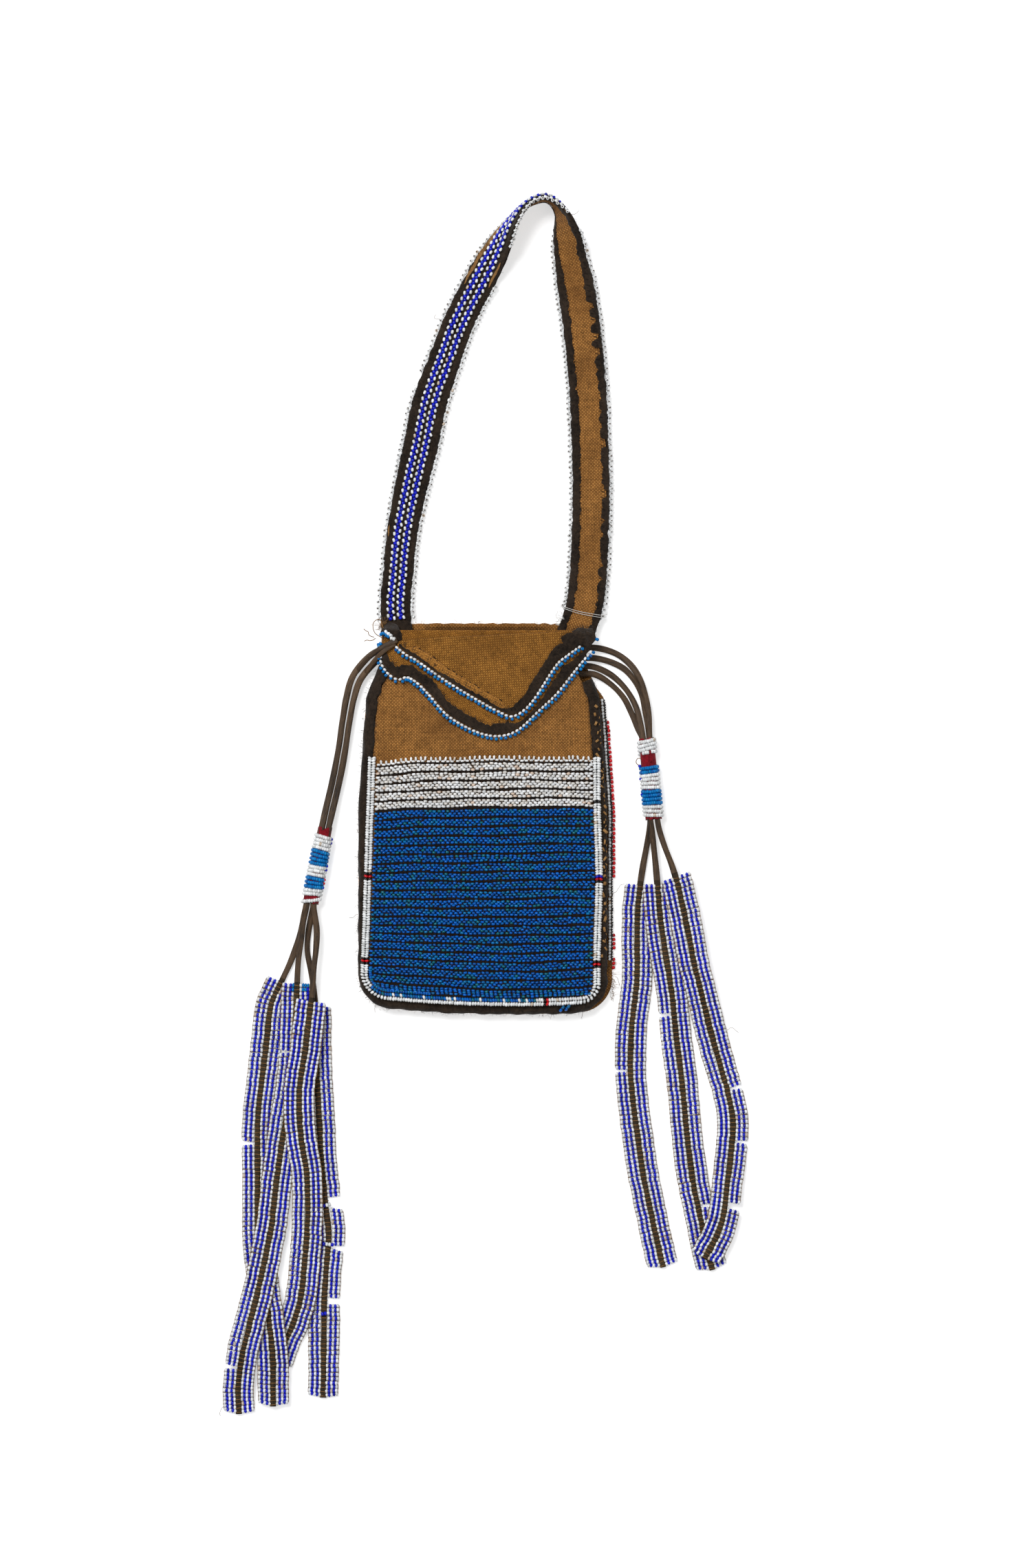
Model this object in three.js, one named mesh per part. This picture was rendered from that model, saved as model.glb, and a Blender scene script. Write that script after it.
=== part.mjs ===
// Beaded tobacco bag, lying flat on its back: a cloth pouch with a black wool gusset, two flaps turned
// down over its front, a field of bead bands, a shoulder strap that turns over at its top, and two bunches
// of leather thongs that run through beaded sleeves and end in flat beaded strips.
// Millimetres, +Z up. The origin is the middle of the back panel's resting face, with +Y towards the mouth.

import * as THREE from "three";

// Layers
const seam = 0.3; // gap between pieces that are sewn together
const backCloth = 1.2;
const frontCloth = 1.0;
const flapCloth = 1.0;
const borderWool = 0.6;
const pouchDepth = 6.0; // room between the back and the front
const crown = 1.5; // rise of the front across its width
const beadHeight = 1.7; // a sewn bead above the cloth

// Pouch
const bodyWidth = 113.4; // over the gusset
const bodyLength = 178; // from the foot to the mouth
const footRadius = 14;
const gussetWidth = 4.8;
const gussetLeftEnd = 19; // end of the gusset below the mouth
const gussetRightEnd = 25;
const backOverhang = 2.2; // back panel past the gusset on the right
const overhangFade = 8; // height above its bead line over which it ends
const frontDrop = 4.5; // front panel's top edge below the mouth
const gussetRound = 0.7; // rounding of the gusset's long edges
const gussetDip = 0.2; // gusset's inner edge below its top
const bowMiddle = 18; // lowest place of the bowed foot
const bowLeft = 4.1; // how far the foot rises from there to the body's left side
const bowRight = 1.9;
const bowFull = 4; // height above the foot up to which its pieces take the whole bow
const bowReach = 49; // height at which the bow has faded out

// Draw-in of the sides: how far below the mouth, and how much on each side
const drawIn = [
  [0, 10.7],
  [18, 10.2],
  [26, 6.5],
  [34, 3.6],
  [48, 2.5],
  [66, 1.3],
  [86, 0],
];

// Beadwork on the front
const fieldDrop = 63.3; // top of the beadwork below the mouth
const bandPitch = 4.1;
const bandLine = 0.95; // dark line between bands
const rowsPerBand = 3;
const whiteBands = 5;
const picotHeight = 1.9;
const footMargin = 7.8; // least room below the beadwork
const fieldInsetLeftTop = 8.2;
const fieldInsetLeftFoot = 4.6;
const fieldInsetRight = 6.9;
const fieldRadius = 8;
const borderWidth = 3.7; // two beads

// Flaps: edges as x and distance below the mouth
const underEdgePoints = [
  [-45.5, 18],
  [-42.5, 22.3],
  [-38.5, 24.8],
  [-34.4, 23.8],
  [-29.5, 26.4],
  [-23.7, 32.2],
  [-16.2, 41.2],
  [-7.8, 47.2],
  [0.6, 51.2],
  [8.1, 52.1],
  [15.6, 49.6],
  [24.7, 41.2],
  [33.1, 32.7],
  [41.6, 21.2],
  [48.3, 12.6],
];
const topEdgePoints = [
  [-38.6, 10.4],
  [-34, 14],
  [-29.5, 16.4],
  [-16.2, 25.7],
  [0.6, 36],
  [9, 40.3],
  [14.1, 42.2],
  [19.1, 40.2],
  [24.1, 34.6],
  [33.1, 19.3],
  [38.1, 14],
  [43.4, 10.2],
];
const flapEndLength = 4.5; // stretch at each end over which a flap's fold falls away
const underEndFall = [5, 5]; // fall of the under flap's fold at its left and right ends
const topEndFall = [1.2, 4];
const topFoldDrop = [7.6, 3.4]; // top flap's fold below the mouth, left and right
const foldRound = 0.4; // rounding of a fold
const underBorderWidth = 5.6;
const topBorderLeft = 1.2;
const topBorderRight = 4.6;
const topBorderChange = 4; // stretch on each side of the point where the width changes
const borderSetback = 0.5; // border's outer edge in from the flap's edge
const borderClear = 0.5; // room left beside the bead edging and the folds
const borderLeast = 0.8;
const flapBeadPitch = 2.25;
const flapLineWidth = 1.2; // white line of a flap's bead edging
const flapDropWidth = 1.5; // blue beads outside it
const flapBeadHeight = 1.5;
const risingBeads = 1.2; // top of the under flap's edging below its fold, where it runs up the left end

// Bead lines on the right edge of the back panel: ends below the mouth
const lineBead = 1.7;
const backLineSpan = [35, 154];
const redUpperSpan = [45, 115];
const redLowerSpan = [backLineSpan[1] - 13, backLineSpan[1] - 4];

// Strap
const facingWidth = 13.6;
const facingCloth = 1.0;
const liningWidth = 10.4;
const liningCloth = 0.8;
const strapLineOffset = 2.25;
const strapLineWidth = 3.8;
const strapLineHeight = 1.4;
const strapDish = 0.3; // rise of the strap's edges towards its beaded face
const strapEdgeBead = 1.7;
const strapSeat = 7; // strap end below the mouth, inside it
const strapFootLeft = 7.3; // middle of each strap end, in from the mouth's corner
const strapFootRight = 4.6;
const turnBefore = 56; // length over which the strap rolls on to its edge before its top
const turnAfter = 34;
const seatRun = 28; // length over which the strap climbs on to the back panel
const beadSetback = 12; // bare strap at each end

// Middle of the strap seen from above: x, and height above the mouth
const strapLeftLeg = [
  [-39.8, 8.5],
  [-38.7, 22],
  [-37, 40],
  [-32.7, 62.6],
  [-28.1, 82.3],
  [-24.5, 99.8],
  [-17.5, 120],
  [-10.9, 137.6],
  [-2.4, 154.4],
  [5.7, 168.5],
  [14, 182.5],
];
const strapTop = [
  [21.6, 190.4],
  [29, 192.4],
  [34.6, 187.5],
];
const strapRightLeg = [
  [37.6, 178.5],
  [40, 166],
  [42.5, 152.6],
  [45.6, 130],
  [47.8, 106.3],
  [48.6, 88],
  [49.3, 64.4],
  [49, 44.4],
  [47.8, 20.4],
  [46, 7],
];

// Thongs, sleeves and strips
const thongWidth = 2.8;
const thongThickness = 1.8;
const stripBand = 5.1; // bead band on each side of a thong
const stripHeight = 2.0;
const stripColumns = 5;
const floorGap = 0.05;
const sleeveBore = [3.35, 2.3]; // half width and half height inside
const sleeveWool = 0.3;
const sleeveBead = 0.9;
const sleeveRow = 1.8;
const sleeveGroove = 0.35;
const sleeveFlat = 0.79; // flat part of the sleeve's oval section
const woolShowing = 1.6; // red wool past the beads
const woolSetback = 0.3; // right sleeve's wool inside its upper end

const mouth = bodyLength / 2;
const foot = -bodyLength / 2;
const halfBody = bodyWidth / 2;
const frontBase = backCloth + pouchDepth;
const frontTop = frontBase + frontCloth;
const frontInset = gussetWidth + seam;
const halfFront = halfBody - frontInset;

// Curves and skins

const lerp = THREE.MathUtils.lerp;

function point(x, y, z = 0) {
  return new THREE.Vector3(x, y, z);
}

// Value of a list of pairs at x, in straight steps
function along(pairs, x) {
  const i = pairs.findIndex(([at]) => at >= x);
  if (i === 0) return pairs[0][1];
  if (i < 0) return pairs[pairs.length - 1][1];
  const [x0, v0] = pairs[i - 1];
  const [x1, v1] = pairs[i];
  return lerp(v0, v1, (x - x0) / (x1 - x0));
}

// Half-width of the body at a height y
function halfAt(y) {
  return halfBody - along(drawIn, mouth - y);
}

// Height of the front's top surface at x: a shallow arch from gusset to gusset
function arch(x) {
  return frontTop + crown * (1 - (x / halfFront) ** 2);
}

// Triangles of a flat ring, in the ring's own order
function capOf(ring) {
  const normal = new THREE.Vector3();
  ring.forEach((p, i) => normal.add(p.clone().cross(ring[(i + 1) % ring.length])));
  normal.normalize();
  const across = ring[1].clone().sub(ring[0]).normalize();
  const up = normal.clone().cross(across);
  const flat = ring.map((p) => new THREE.Vector2(p.dot(across), p.dot(up)));
  return THREE.ShapeUtils.triangulateShape(flat, []).map(([a, b, c]) => {
    const turn = flat[b].clone().sub(flat[a]).cross(flat[c].clone().sub(flat[a]));
    return turn > 0 ? [a, b, c] : [a, c, b];
  });
}

// Closed skin over a row of rings; its ends are capped, or joined when the row runs round
function skin(rings, joined = false, cap = capOf) {
  const count = rings[0].length;
  const index = [];
  const steps = joined ? rings.length : rings.length - 1;
  for (let i = 0; i < steps; i++) {
    const a = i * count;
    const b = ((i + 1) % rings.length) * count;
    for (let k = 0; k < count; k++) {
      const m = (k + 1) % count;
      index.push(a + k, a + m, b + k, b + k, a + m, b + m);
    }
  }
  if (!joined) {
    const end = (rings.length - 1) * count;
    cap(rings[0]).forEach(([a, b, c]) => index.push(a, c, b));
    cap(rings[rings.length - 1]).forEach(([a, b, c]) => index.push(end + a, end + b, end + c));
  }
  const points = rings.flat();
  let volume = 0;
  for (let i = 0; i < index.length; i += 3) {
    const [a, b, c] = [points[index[i]], points[index[i + 1]], points[index[i + 2]]];
    volume += a.dot(b.clone().cross(c));
  }
  if (volume < 0) index.reverse();
  const geometry = new THREE.BufferGeometry().setFromPoints(points);
  geometry.setIndex(index);
  geometry.computeVertexNormals();
  return geometry;
}

// Sideways direction, to the right of travel, at each point of a path seen from above;
// longer at corners, so that lines at one distance stay parallel to the path
function sideways(path) {
  const normals = path.slice(1).map((p, i) => {
    const way = p.clone().sub(path[i]).setZ(0).normalize();
    return point(way.y, -way.x);
  });
  return path.map((p, i) => {
    const before = normals[Math.max(i - 1, 0)];
    const after = normals[Math.min(i, normals.length - 1)];
    const middle = before.clone().add(after).normalize();
    return middle.divideScalar(middle.dot(before));
  });
}

// Line beside a path, at a distance to the right of travel
function offset(path, distance) {
  const sides = sideways(path);
  return path.map((p, i) => p.clone().addScaledVector(sides[i], distance));
}

// Ribbon along a path; its section is a list of [sideways, height], or a function of the step
function ribbon(path, section) {
  const sides = sideways(path);
  const rings = path.map((p, i) => {
    const shape = typeof section === "function" ? section(i) : section;
    return shape.map(([s, h]) => p.clone().addScaledVector(sides[i], s).add(point(0, 0, h)));
  });
  return skin(rings);
}

function spline(pairs, steps) {
  const curve = new THREE.SplineCurve(pairs.map(([x, y]) => new THREE.Vector2(x, y)));
  return curve.getSpacedPoints(steps);
}

// Quarter turn about a centre, from one compass angle to another
function arc(cx, cy, radius, from, to, steps) {
  return Array.from({ length: steps + 1 }, (_, i) => {
    const angle = THREE.MathUtils.degToRad(lerp(from, to, i / steps));
    return point(cx + radius * Math.cos(angle), cy + radius * Math.sin(angle));
  });
}

// Group and materials

const bag = new THREE.Group();

function material(color, roughness) {
  return new THREE.MeshStandardMaterial({ color, roughness, metalness: 0 });
}

const brownCloth = material(0x966a34, 0.95);
const goldenCloth = material(0xa27428, 0.95);
const blackWool = material(0x28201a, 1.0);
const redWool = material(0x821423, 1.0);
const leather = material(0x504130, 0.7);
const whiteBeads = material(0xebeef0, 0.3);
const blueBeads = material(0x146edc, 0.3);
const cobaltBeads = material(0x1419c8, 0.3);
const redBeads = material(0xdc141e, 0.3);

// Lifts a piece with the bow of the foot
function bow(geometry) {
  const places = geometry.getAttribute("position");
  for (let i = 0; i < places.count; i++) {
    const x = places.getX(i);
    const y = places.getY(i);
    const side = x < bowMiddle ? halfBody + bowMiddle : halfBody - bowMiddle;
    const rise = (x < bowMiddle ? bowLeft : bowRight) * ((x - bowMiddle) / side) ** 2;
    const faded = THREE.MathUtils.smoothstep(y, foot + bowFull, foot + bowReach);
    places.setY(i, y + rise * (1 - faded));
  }
  geometry.computeVertexNormals();
  return geometry;
}

function add(name, geometry, finish) {
  const mesh = new THREE.Mesh(geometry, finish);
  mesh.name = name;
  bag.add(mesh);
}

// Pouch

const sideHeights = drawIn.map(([drop]) => mouth - drop);

// One side of the body from a height down to the start of the foot's corner
function sidePoints(from, sign, extra = () => 0) {
  const cornerTop = foot + footRadius;
  const heights = [from, ...sideHeights.filter((y) => y < from && y > cornerTop)];
  const middle = (heights[heights.length - 1] + cornerTop) / 2;
  return [...heights, middle].map((y) => point(sign * (halfAt(y) + extra(y)), y));
}

// Body outline from the left end of the gusset, round the foot, to its right end
function bodyOutline(leftTop, rightTop, rightExtra) {
  const cx = halfBody - footRadius;
  const cy = foot + footRadius;
  const extra = rightExtra ? rightExtra(cy) : 0;
  const right = sidePoints(rightTop, 1, rightExtra).reverse();
  const footSteps = 8;
  const low = Array.from({ length: footSteps - 1 }, (_, i) => lerp(-cx, cx + extra, (i + 1) / footSteps));
  return [
    ...sidePoints(leftTop, -1),
    ...arc(-cx, cy, footRadius, 180, 270, 7),
    ...low.map((x) => point(x, foot)),
    ...arc(cx + extra, cy, footRadius, 270, 360, 7),
    ...right,
  ];
}

function backPanel() {
  const full = mouth - backLineSpan[0];
  const overhang = (y) => backOverhang * (1 - THREE.MathUtils.smoothstep(y, full, full + overhangFade));
  const outline = bodyOutline(mouth, mouth, overhang).map((p) => new THREE.Vector2(p.x, p.y));
  return new THREE.ExtrudeGeometry(new THREE.Shape(outline), { depth: backCloth, bevelEnabled: false });
}

function gusset() {
  const low = backCloth + seam;
  const high = frontTop;
  const section = [
    [-gussetWidth, low],
    [-gussetRound, low],
    [0, (low + high) / 2],
    [-gussetRound, high - gussetRound],
    [-gussetWidth / 2, high],
    [-gussetWidth, high - gussetDip],
  ];
  return ribbon(bodyOutline(mouth - gussetLeftEnd, mouth - gussetRightEnd), section);
}

const frontEdge = mouth - frontDrop;

// Front panel: rings from side to side, from the foot up to the mouth
function frontPanel() {
  const columns = 8;
  const radius = footRadius - frontInset;
  const cornerTop = foot + footRadius;
  const corner = [0, 20, 45, 70, 90].map((angle) => {
    const turn = THREE.MathUtils.degToRad(angle);
    return [cornerTop - radius * Math.cos(turn), halfFront - radius + radius * Math.sin(turn)];
  });
  const side = offset(sidePoints(frontEdge, -1), -frontInset).reverse();
  const rows = [...corner, ...side.map((p) => [p.y, -p.x])];
  const rings = rows.map(([y, half]) => {
    const xs = Array.from({ length: columns + 1 }, (_, i) => lerp(-half, half, i / columns));
    const over = xs.map((x) => point(x, y, arch(x)));
    const under = xs.map((x) => point(x, y, arch(x) - frontCloth)).reverse();
    return [...over, ...under];
  });
  return skin(rings);
}

add("back_panel", bow(backPanel()), brownCloth);
add("side_gusset", bow(gusset()), blackWool);
add("front_panel", bow(frontPanel()), brownCloth);

// Beadwork on the front

const fieldTop = mouth - fieldDrop;
const blueTop = fieldTop - whiteBands * bandPitch - seam;
const blueBands = Math.floor((blueTop - foot - footMargin) / bandPitch);
const fieldFoot = blueTop - blueBands * bandPitch;
const fieldBase = seam;

function fieldLeft(y) {
  const down = (fieldTop - y) / (fieldTop - fieldFoot);
  return -halfBody + lerp(fieldInsetLeftTop, fieldInsetLeftFoot, down);
}

const fieldRight = halfBody - fieldInsetRight;

// Inset of the beadwork's ends where its lower corners are rounded
function cornerInset(y) {
  const rise = Math.min(y - fieldFoot, fieldRadius);
  return fieldRadius - Math.sqrt(fieldRadius ** 2 - (fieldRadius - rise) ** 2);
}

// A field of bead rows: each row is a ridge, and the bands stand apart at the dark lines
function beadField(top, bands) {
  const row = (bandPitch - bandLine) / rowsPerBand;
  const groove = beadHeight * 0.3;
  const valley = beadHeight * 0.78;
  const profile = [];
  for (let band = 0; band < bands; band++) {
    const start = top - band * bandPitch;
    profile.push([start, groove]);
    for (let r = 0; r < rowsPerBand; r++) {
      const rowTop = start - bandLine / 2 - r * row;
      if (r > 0) profile.push([rowTop, valley]);
      profile.push([rowTop - row / 2, beadHeight]);
    }
  }
  profile.push([top - bands * bandPitch, groove]);
  for (let band = bands; band >= 0; band--) profile.push([top - band * bandPitch, 0]);
  const columns = 4;
  const rings = Array.from({ length: columns + 1 }, (_, i) =>
    profile.map(([y, h]) => {
      const x = lerp(fieldLeft(y) + cornerInset(y), fieldRight - cornerInset(y), i / columns);
      return point(x, y, arch(x) + fieldBase + h);
    }),
  );
  return skin(rings, false, () => bandEnds(bands));
}

// Triangles of a field's end: each band's ridges run down to the base at its two dark lines
function bandEnds(bands) {
  const perBand = 2 * rowsPerBand;
  const base = bands * perBand + 1;
  const triangles = [];
  for (let band = 0; band < bands; band++) {
    const start = band * perBand;
    const middle = start + rowsPerBand;
    const near = base + bands - band;
    for (let k = start; k < start + perBand; k++) {
      triangles.push([k < middle ? near : near - 1, k, k + 1]);
    }
    triangles.push([near, middle, near - 1]);
  }
  return triangles;
}

function picotRow() {
  const low = fieldTop + seam;
  const columns = 6;
  const rings = Array.from({ length: columns + 1 }, (_, i) => {
    const x = lerp(fieldLeft(low), fieldRight, i / columns);
    const z = arch(x) + fieldBase;
    return [
      point(x, low, z),
      point(x, low + picotHeight, z),
      point(x, low + picotHeight * 0.8, z + beadHeight * 0.8),
      point(x, low + picotHeight * 0.2, z + beadHeight * 0.8),
    ];
  });
  return skin(rings);
}

// Border round the beadwork, two beads wide, with a groove between them
function beadBorder() {
  const start = fieldTop + picotHeight;
  const cornerTop = fieldFoot + fieldRadius;
  const cx = fieldLeft(cornerTop) + fieldRadius;
  const heights = [start, lerp(start, cornerTop, 0.33), lerp(start, cornerTop, 0.67)];
  const bottom = [0.2, 0.4, 0.6, 0.8].map((t) => point(lerp(cx, fieldRight - fieldRadius, t), fieldFoot));
  const path = [
    ...heights.map((y) => point(fieldLeft(y), y)),
    ...arc(cx, cornerTop, fieldRadius, 180, 270, 6),
    ...bottom,
    ...arc(fieldRight - fieldRadius, cornerTop, fieldRadius, 270, 360, 6),
    ...heights.map((y) => point(fieldRight, y)).reverse(),
  ];
  path.forEach((p) => p.setZ(Math.max(arch(p.x), frontTop) + fieldBase));
  const inner = seam;
  const outer = seam + borderWidth;
  const section = [
    [inner, 0],
    [outer, 0],
    [outer, beadHeight * 0.5],
    [outer - borderWidth * 0.25, beadHeight],
    [(inner + outer) / 2, beadHeight * 0.65],
    [inner + borderWidth * 0.25, beadHeight],
    [inner, beadHeight * 0.5],
  ];
  return ribbon(path, section);
}

add("white_picot_row", picotRow(), whiteBeads);
add("white_bead_panel", beadField(fieldTop, whiteBands), whiteBeads);
add("blue_bead_panel", bow(beadField(blueTop, blueBands)), blueBeads);
add("bead_border", bow(beadBorder()), whiteBeads);

// Flaps

const edgeSteps = 28;
const onFlap = (p) => point(p.x, mouth - p.y);
const underEdge = spline(underEdgePoints, edgeSteps).map(onFlap);
const topEdge = spline(topEdgePoints, edgeSteps).map(onFlap);
const underLift = seam;
const topLift = underLift + flapCloth + seam;

// How much a fold falls away towards the ends of its flap
function foldFall(edge, x, [left, right]) {
  const first = edge[0].x;
  const last = edge[edge.length - 1].x;
  const near = Math.min(x - first, last - x);
  const away = Math.max(0, 1 - near / flapEndLength);
  return (x - first < last - x ? left : right) * away ** 2;
}

function underFold(x) {
  return frontEdge + seam + flapCloth - foldFall(underEdge, x, underEndFall);
}

function topFold(x) {
  const t = (x - topEdge[0].x) / (topEdge[edgeSteps].x - topEdge[0].x);
  return mouth - lerp(...topFoldDrop, t) - foldFall(topEdge, x, topEndFall);
}

// Under flap: a sheet whose fold hooks over the front panel's top edge
function underFlap() {
  const halfTop = halfAt(frontEdge) - frontInset;
  const rings = underEdge.map((p) => {
    const low = arch(p.x) + underLift;
    const high = low + flapCloth;
    const fold = underFold(p.x);
    const hook = Math.abs(p.x) < halfTop ? low - underLift - frontCloth : low - seam;
    return [
      point(p.x, p.y, low),
      point(p.x, p.y, high),
      point(p.x, fold - foldRound, high),
      point(p.x, fold, high - foldRound),
      point(p.x, fold, hook),
      point(p.x, fold - flapCloth, hook),
      point(p.x, fold - flapCloth, low),
    ];
  });
  return skin(rings);
}

function topFlap() {
  const rings = topEdge.map((p) => {
    const low = arch(p.x) + topLift;
    const high = low + flapCloth;
    const fold = topFold(p.x);
    return [
      point(p.x, p.y, low),
      point(p.x, p.y, high),
      point(p.x, fold - foldRound, high),
      point(p.x, fold, high - foldRound),
      point(p.x, fold, low),
    ];
  });
  return skin(rings);
}

// Factor from a width across an edge to a width along Y, at one of its points
function slant(edge, i) {
  const a = edge[Math.max(i - 1, 0)];
  const b = edge[Math.min(i + 1, edge.length - 1)];
  return Math.hypot(1, (b.y - a.y) / (b.x - a.x));
}

// Black wool border laid on a flap along its edge, no wider than the room there
function flapBorder(edgePoints, lift, widthAt, roomTo) {
  const edge = spline(edgePoints, 2 * edgeSteps).map(onFlap);
  const rings = [];
  edge.forEach((p, i) => {
    const steep = slant(edge, i);
    const from = p.y + borderSetback * steep;
    const to = Math.min(from + widthAt(p.x) * steep, roomTo(p.x) - borderClear);
    if (to - from < borderLeast) return;
    const low = arch(p.x) + lift + flapCloth + seam;
    rings.push([
      point(p.x, from, low),
      point(p.x, from, low + borderWool),
      point(p.x, to, low + borderWool),
      point(p.x, to, low),
    ]);
  });
  return skin(rings);
}

const flapBeadReach = seam + flapLineWidth + flapDropWidth;
const topBeadLine = offset(topEdge, flapBeadReach + seam).map((p) => [p.x, p.y]);

// The under border stays clear of the top flap's bead edging and of the fold
function underRoom(x) {
  const beside = x < topBeadLine[0][0] || x > topBeadLine[edgeSteps][0];
  const fold = underFold(x) - foldRound;
  return beside ? fold : Math.min(fold, along(topBeadLine, x));
}

function topRoom(x) {
  return topFold(x) - foldRound;
}

const topPoint = topEdge.reduce((low, p) => (p.y < low.y ? p : low));

function topBorderWidth(x) {
  const t = THREE.MathUtils.smoothstep(x, topPoint.x - topBorderChange, topPoint.x + topBorderChange);
  return lerp(topBorderLeft, topBorderRight, t);
}

// Bead edging: a white line with a bead hung outside it at each pitch
function flapBeads(edge, lift) {
  const line = new THREE.CatmullRomCurve3(edge, false, "centripetal");
  const beads = Math.round(line.getLength() / flapBeadPitch);
  const path = line.getSpacedPoints(beads * 2);
  path.forEach((p) => p.setZ(arch(p.x) + lift));
  const top = seam + flapLineWidth / 2;
  const notch = seam + flapLineWidth;
  return ribbon(path, (i) => [
    [seam, 0],
    [i % 2 ? flapBeadReach : notch, 0],
    [top, flapBeadHeight],
  ]);
}

const underEnd = point(underEdge[0].x, underFold(underEdge[0].x) - risingBeads);
const underBeads = flapBeads([underEnd, underEnd.clone().lerp(underEdge[0], 0.5), ...underEdge], underLift);
add("under_flap", underFlap(), brownCloth);
const underBorder = flapBorder(underEdgePoints, underLift, () => underBorderWidth, underRoom);
add("under_flap_border", underBorder, blackWool);
add("under_flap_bead_edge", underBeads, whiteBeads);
add("top_flap", topFlap(), goldenCloth);
add("top_flap_border", flapBorder(topEdgePoints, topLift, topBorderWidth, topRoom), blackWool);
add("top_flap_bead_edge", flapBeads(topEdge, topLift), whiteBeads);

// Bead lines on the back panel's right edge: a hexagonal line of beads between two heights
function edgeLine([from, to], outset, z) {
  const heights = Array.from({ length: 11 }, (_, i) => mouth - lerp(from, to, i / 10));
  const path = heights.map((y) => point(halfAt(y) + outset, y, z));
  const radius = lineBead / 2;
  const section = Array.from({ length: 6 }, (_, k) => {
    const angle = (k * Math.PI) / 3;
    return [radius * Math.cos(angle), radius * Math.sin(angle)];
  });
  return ribbon(path, section);
}

const onBack = backCloth + seam + lineBead / 2;
const besideBack = floorGap + lineBead / 2;
const redOutset = backOverhang + seam + lineBead / 2;
add("back_edge_bead_line", bow(edgeLine(backLineSpan, seam + lineBead / 2, onBack)), whiteBeads);
add("red_bead_line_upper", bow(edgeLine(redUpperSpan, redOutset, besideBack)), redBeads);
add("red_bead_line_lower", bow(edgeLine(redLowerSpan, redOutset, besideBack)), redBeads);

// Strap: a ribbon that lies beaded side up on its left leg, stands on its edge at the top
// and lies lining up on its right leg

const strapHalf = facingWidth / 2 + seam + strapEdgeBead;
const liningFace = -seam - liningCloth;
const beadFace = facingCloth + seam + strapLineHeight;
const mouthHalf = halfAt(mouth);

function strapCurve() {
  const end = mouth - strapSeat;
  const rise = ([x, above]) => point(x, mouth + above);
  return new THREE.CatmullRomCurve3(
    [
      point(-mouthHalf + strapFootLeft, end),
      ...strapLeftLeg.map(rise),
      ...strapTop.map(rise),
      ...strapRightLeg.map(rise),
      point(mouthHalf - strapFootRight, end),
    ],
    false,
    "centripetal",
  );
}

// Places along the strap with the directions across it (over) and out of its beaded face (face)
function strapStations() {
  const curve = strapCurve();
  const length = curve.getLength();
  const samples = 400;
  const heights = curve.getSpacedPoints(samples).map((p) => p.y);
  const topAt = heights.indexOf(Math.max(...heights)) / samples;
  const turnFrom = topAt - turnBefore / length;
  const turnTo = topAt + turnAfter / length;
  const bare = beadSetback / length;
  const seated = seatRun / length;
  const spread = (from, to, steps) => Array.from({ length: steps }, (_, i) => lerp(from, to, i / steps));
  const places = [
    0,
    bare,
    ...spread(seated, turnFrom, 7),
    ...spread(turnFrom, turnTo, 18),
    ...spread(turnTo, 1 - seated, 7),
    1 - seated,
    1 - bare,
    1,
  ];
  const lift = backCloth + seam;
  return places.map((u) => {
    const before = THREE.MathUtils.smoothstep(u, turnFrom, topAt);
    const after = THREE.MathUtils.smoothstep(u, topAt, turnTo);
    const angle = ((before + after) * Math.PI) / 2;
    const way = curve.getTangentAt(u).setZ(0).normalize();
    const right = point(way.y, -way.x);
    const over = right.clone().multiplyScalar(Math.cos(angle)).setZ(Math.sin(angle));
    const face = right.clone().multiplyScalar(-Math.sin(angle)).setZ(Math.cos(angle));
    const side = Math.cos(angle) > 0 ? -liningFace : beadFace + strapDish;
    const ground = strapHalf * Math.abs(Math.sin(angle)) + side * Math.abs(Math.cos(angle));
    const climb = THREE.MathUtils.smoothstep(Math.min(u, 1 - u), bare, seated);
    const middle = curve.getPointAt(u).setZ(floorGap + ground + lift * (1 - climb));
    return { middle, over, face };
  });
}

const stations = strapStations();

// A layer or line of the strap; its section is a list of [across, outward]
function strapLayer(section, from = 0, to = stations.length) {
  const half = facingWidth / 2;
  const rings = stations.slice(from, to).map(({ middle, over, face }) =>
    section.map(([s, h]) => {
      const dished = h + strapDish * (s / half) ** 2;
      return middle.clone().addScaledVector(over, s).addScaledVector(face, dished);
    }),
  );
  return skin(rings);
}

// The layers share their places across the strap, so that they stay apart where it turns over
const halfFacing = facingWidth / 2;
const halfLining = liningWidth / 2;
const lineInner = strapLineOffset - strapLineWidth / 2;
const lineOuter = strapLineOffset + strapLineWidth / 2;
const underPlaces = [-halfFacing, -halfLining, 0, halfLining, halfFacing];
const upperPlaces = [halfFacing, lineOuter, lineInner, -lineInner, -lineOuter, -halfFacing];
const facingSection = [...underPlaces.map((s) => [s, 0]), ...upperPlaces.map((s) => [s, facingCloth])];
const liningSection = [
  [-halfLining, -seam],
  [0, -seam],
  [halfLining, -seam],
  [halfLining, liningFace],
  [-halfLining, liningFace],
];

// Cobalt zigzag between two rows of white beads
function lineSection(centre) {
  const half = strapLineWidth / 2;
  const low = facingCloth + seam;
  return [
    [centre + half, low],
    [centre - half, low],
    [centre - half * 0.7, low + strapLineHeight * 0.8],
    [centre - half * 0.35, low + strapLineHeight * 0.6],
    [centre, low + strapLineHeight],
    [centre + half * 0.35, low + strapLineHeight * 0.6],
    [centre + half * 0.7, low + strapLineHeight * 0.8],
  ];
}

function edgeSection(sign) {
  const inner = sign * (halfFacing + seam);
  const outer = sign * strapHalf;
  const middle = facingCloth / 2;
  const half = strapEdgeBead / 2;
  return [
    [inner, middle - half * 0.6],
    [(inner + outer) / 2, middle - half],
    [outer, middle],
    [(inner + outer) / 2, middle + half],
    [inner, middle + half * 0.6],
  ];
}

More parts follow.
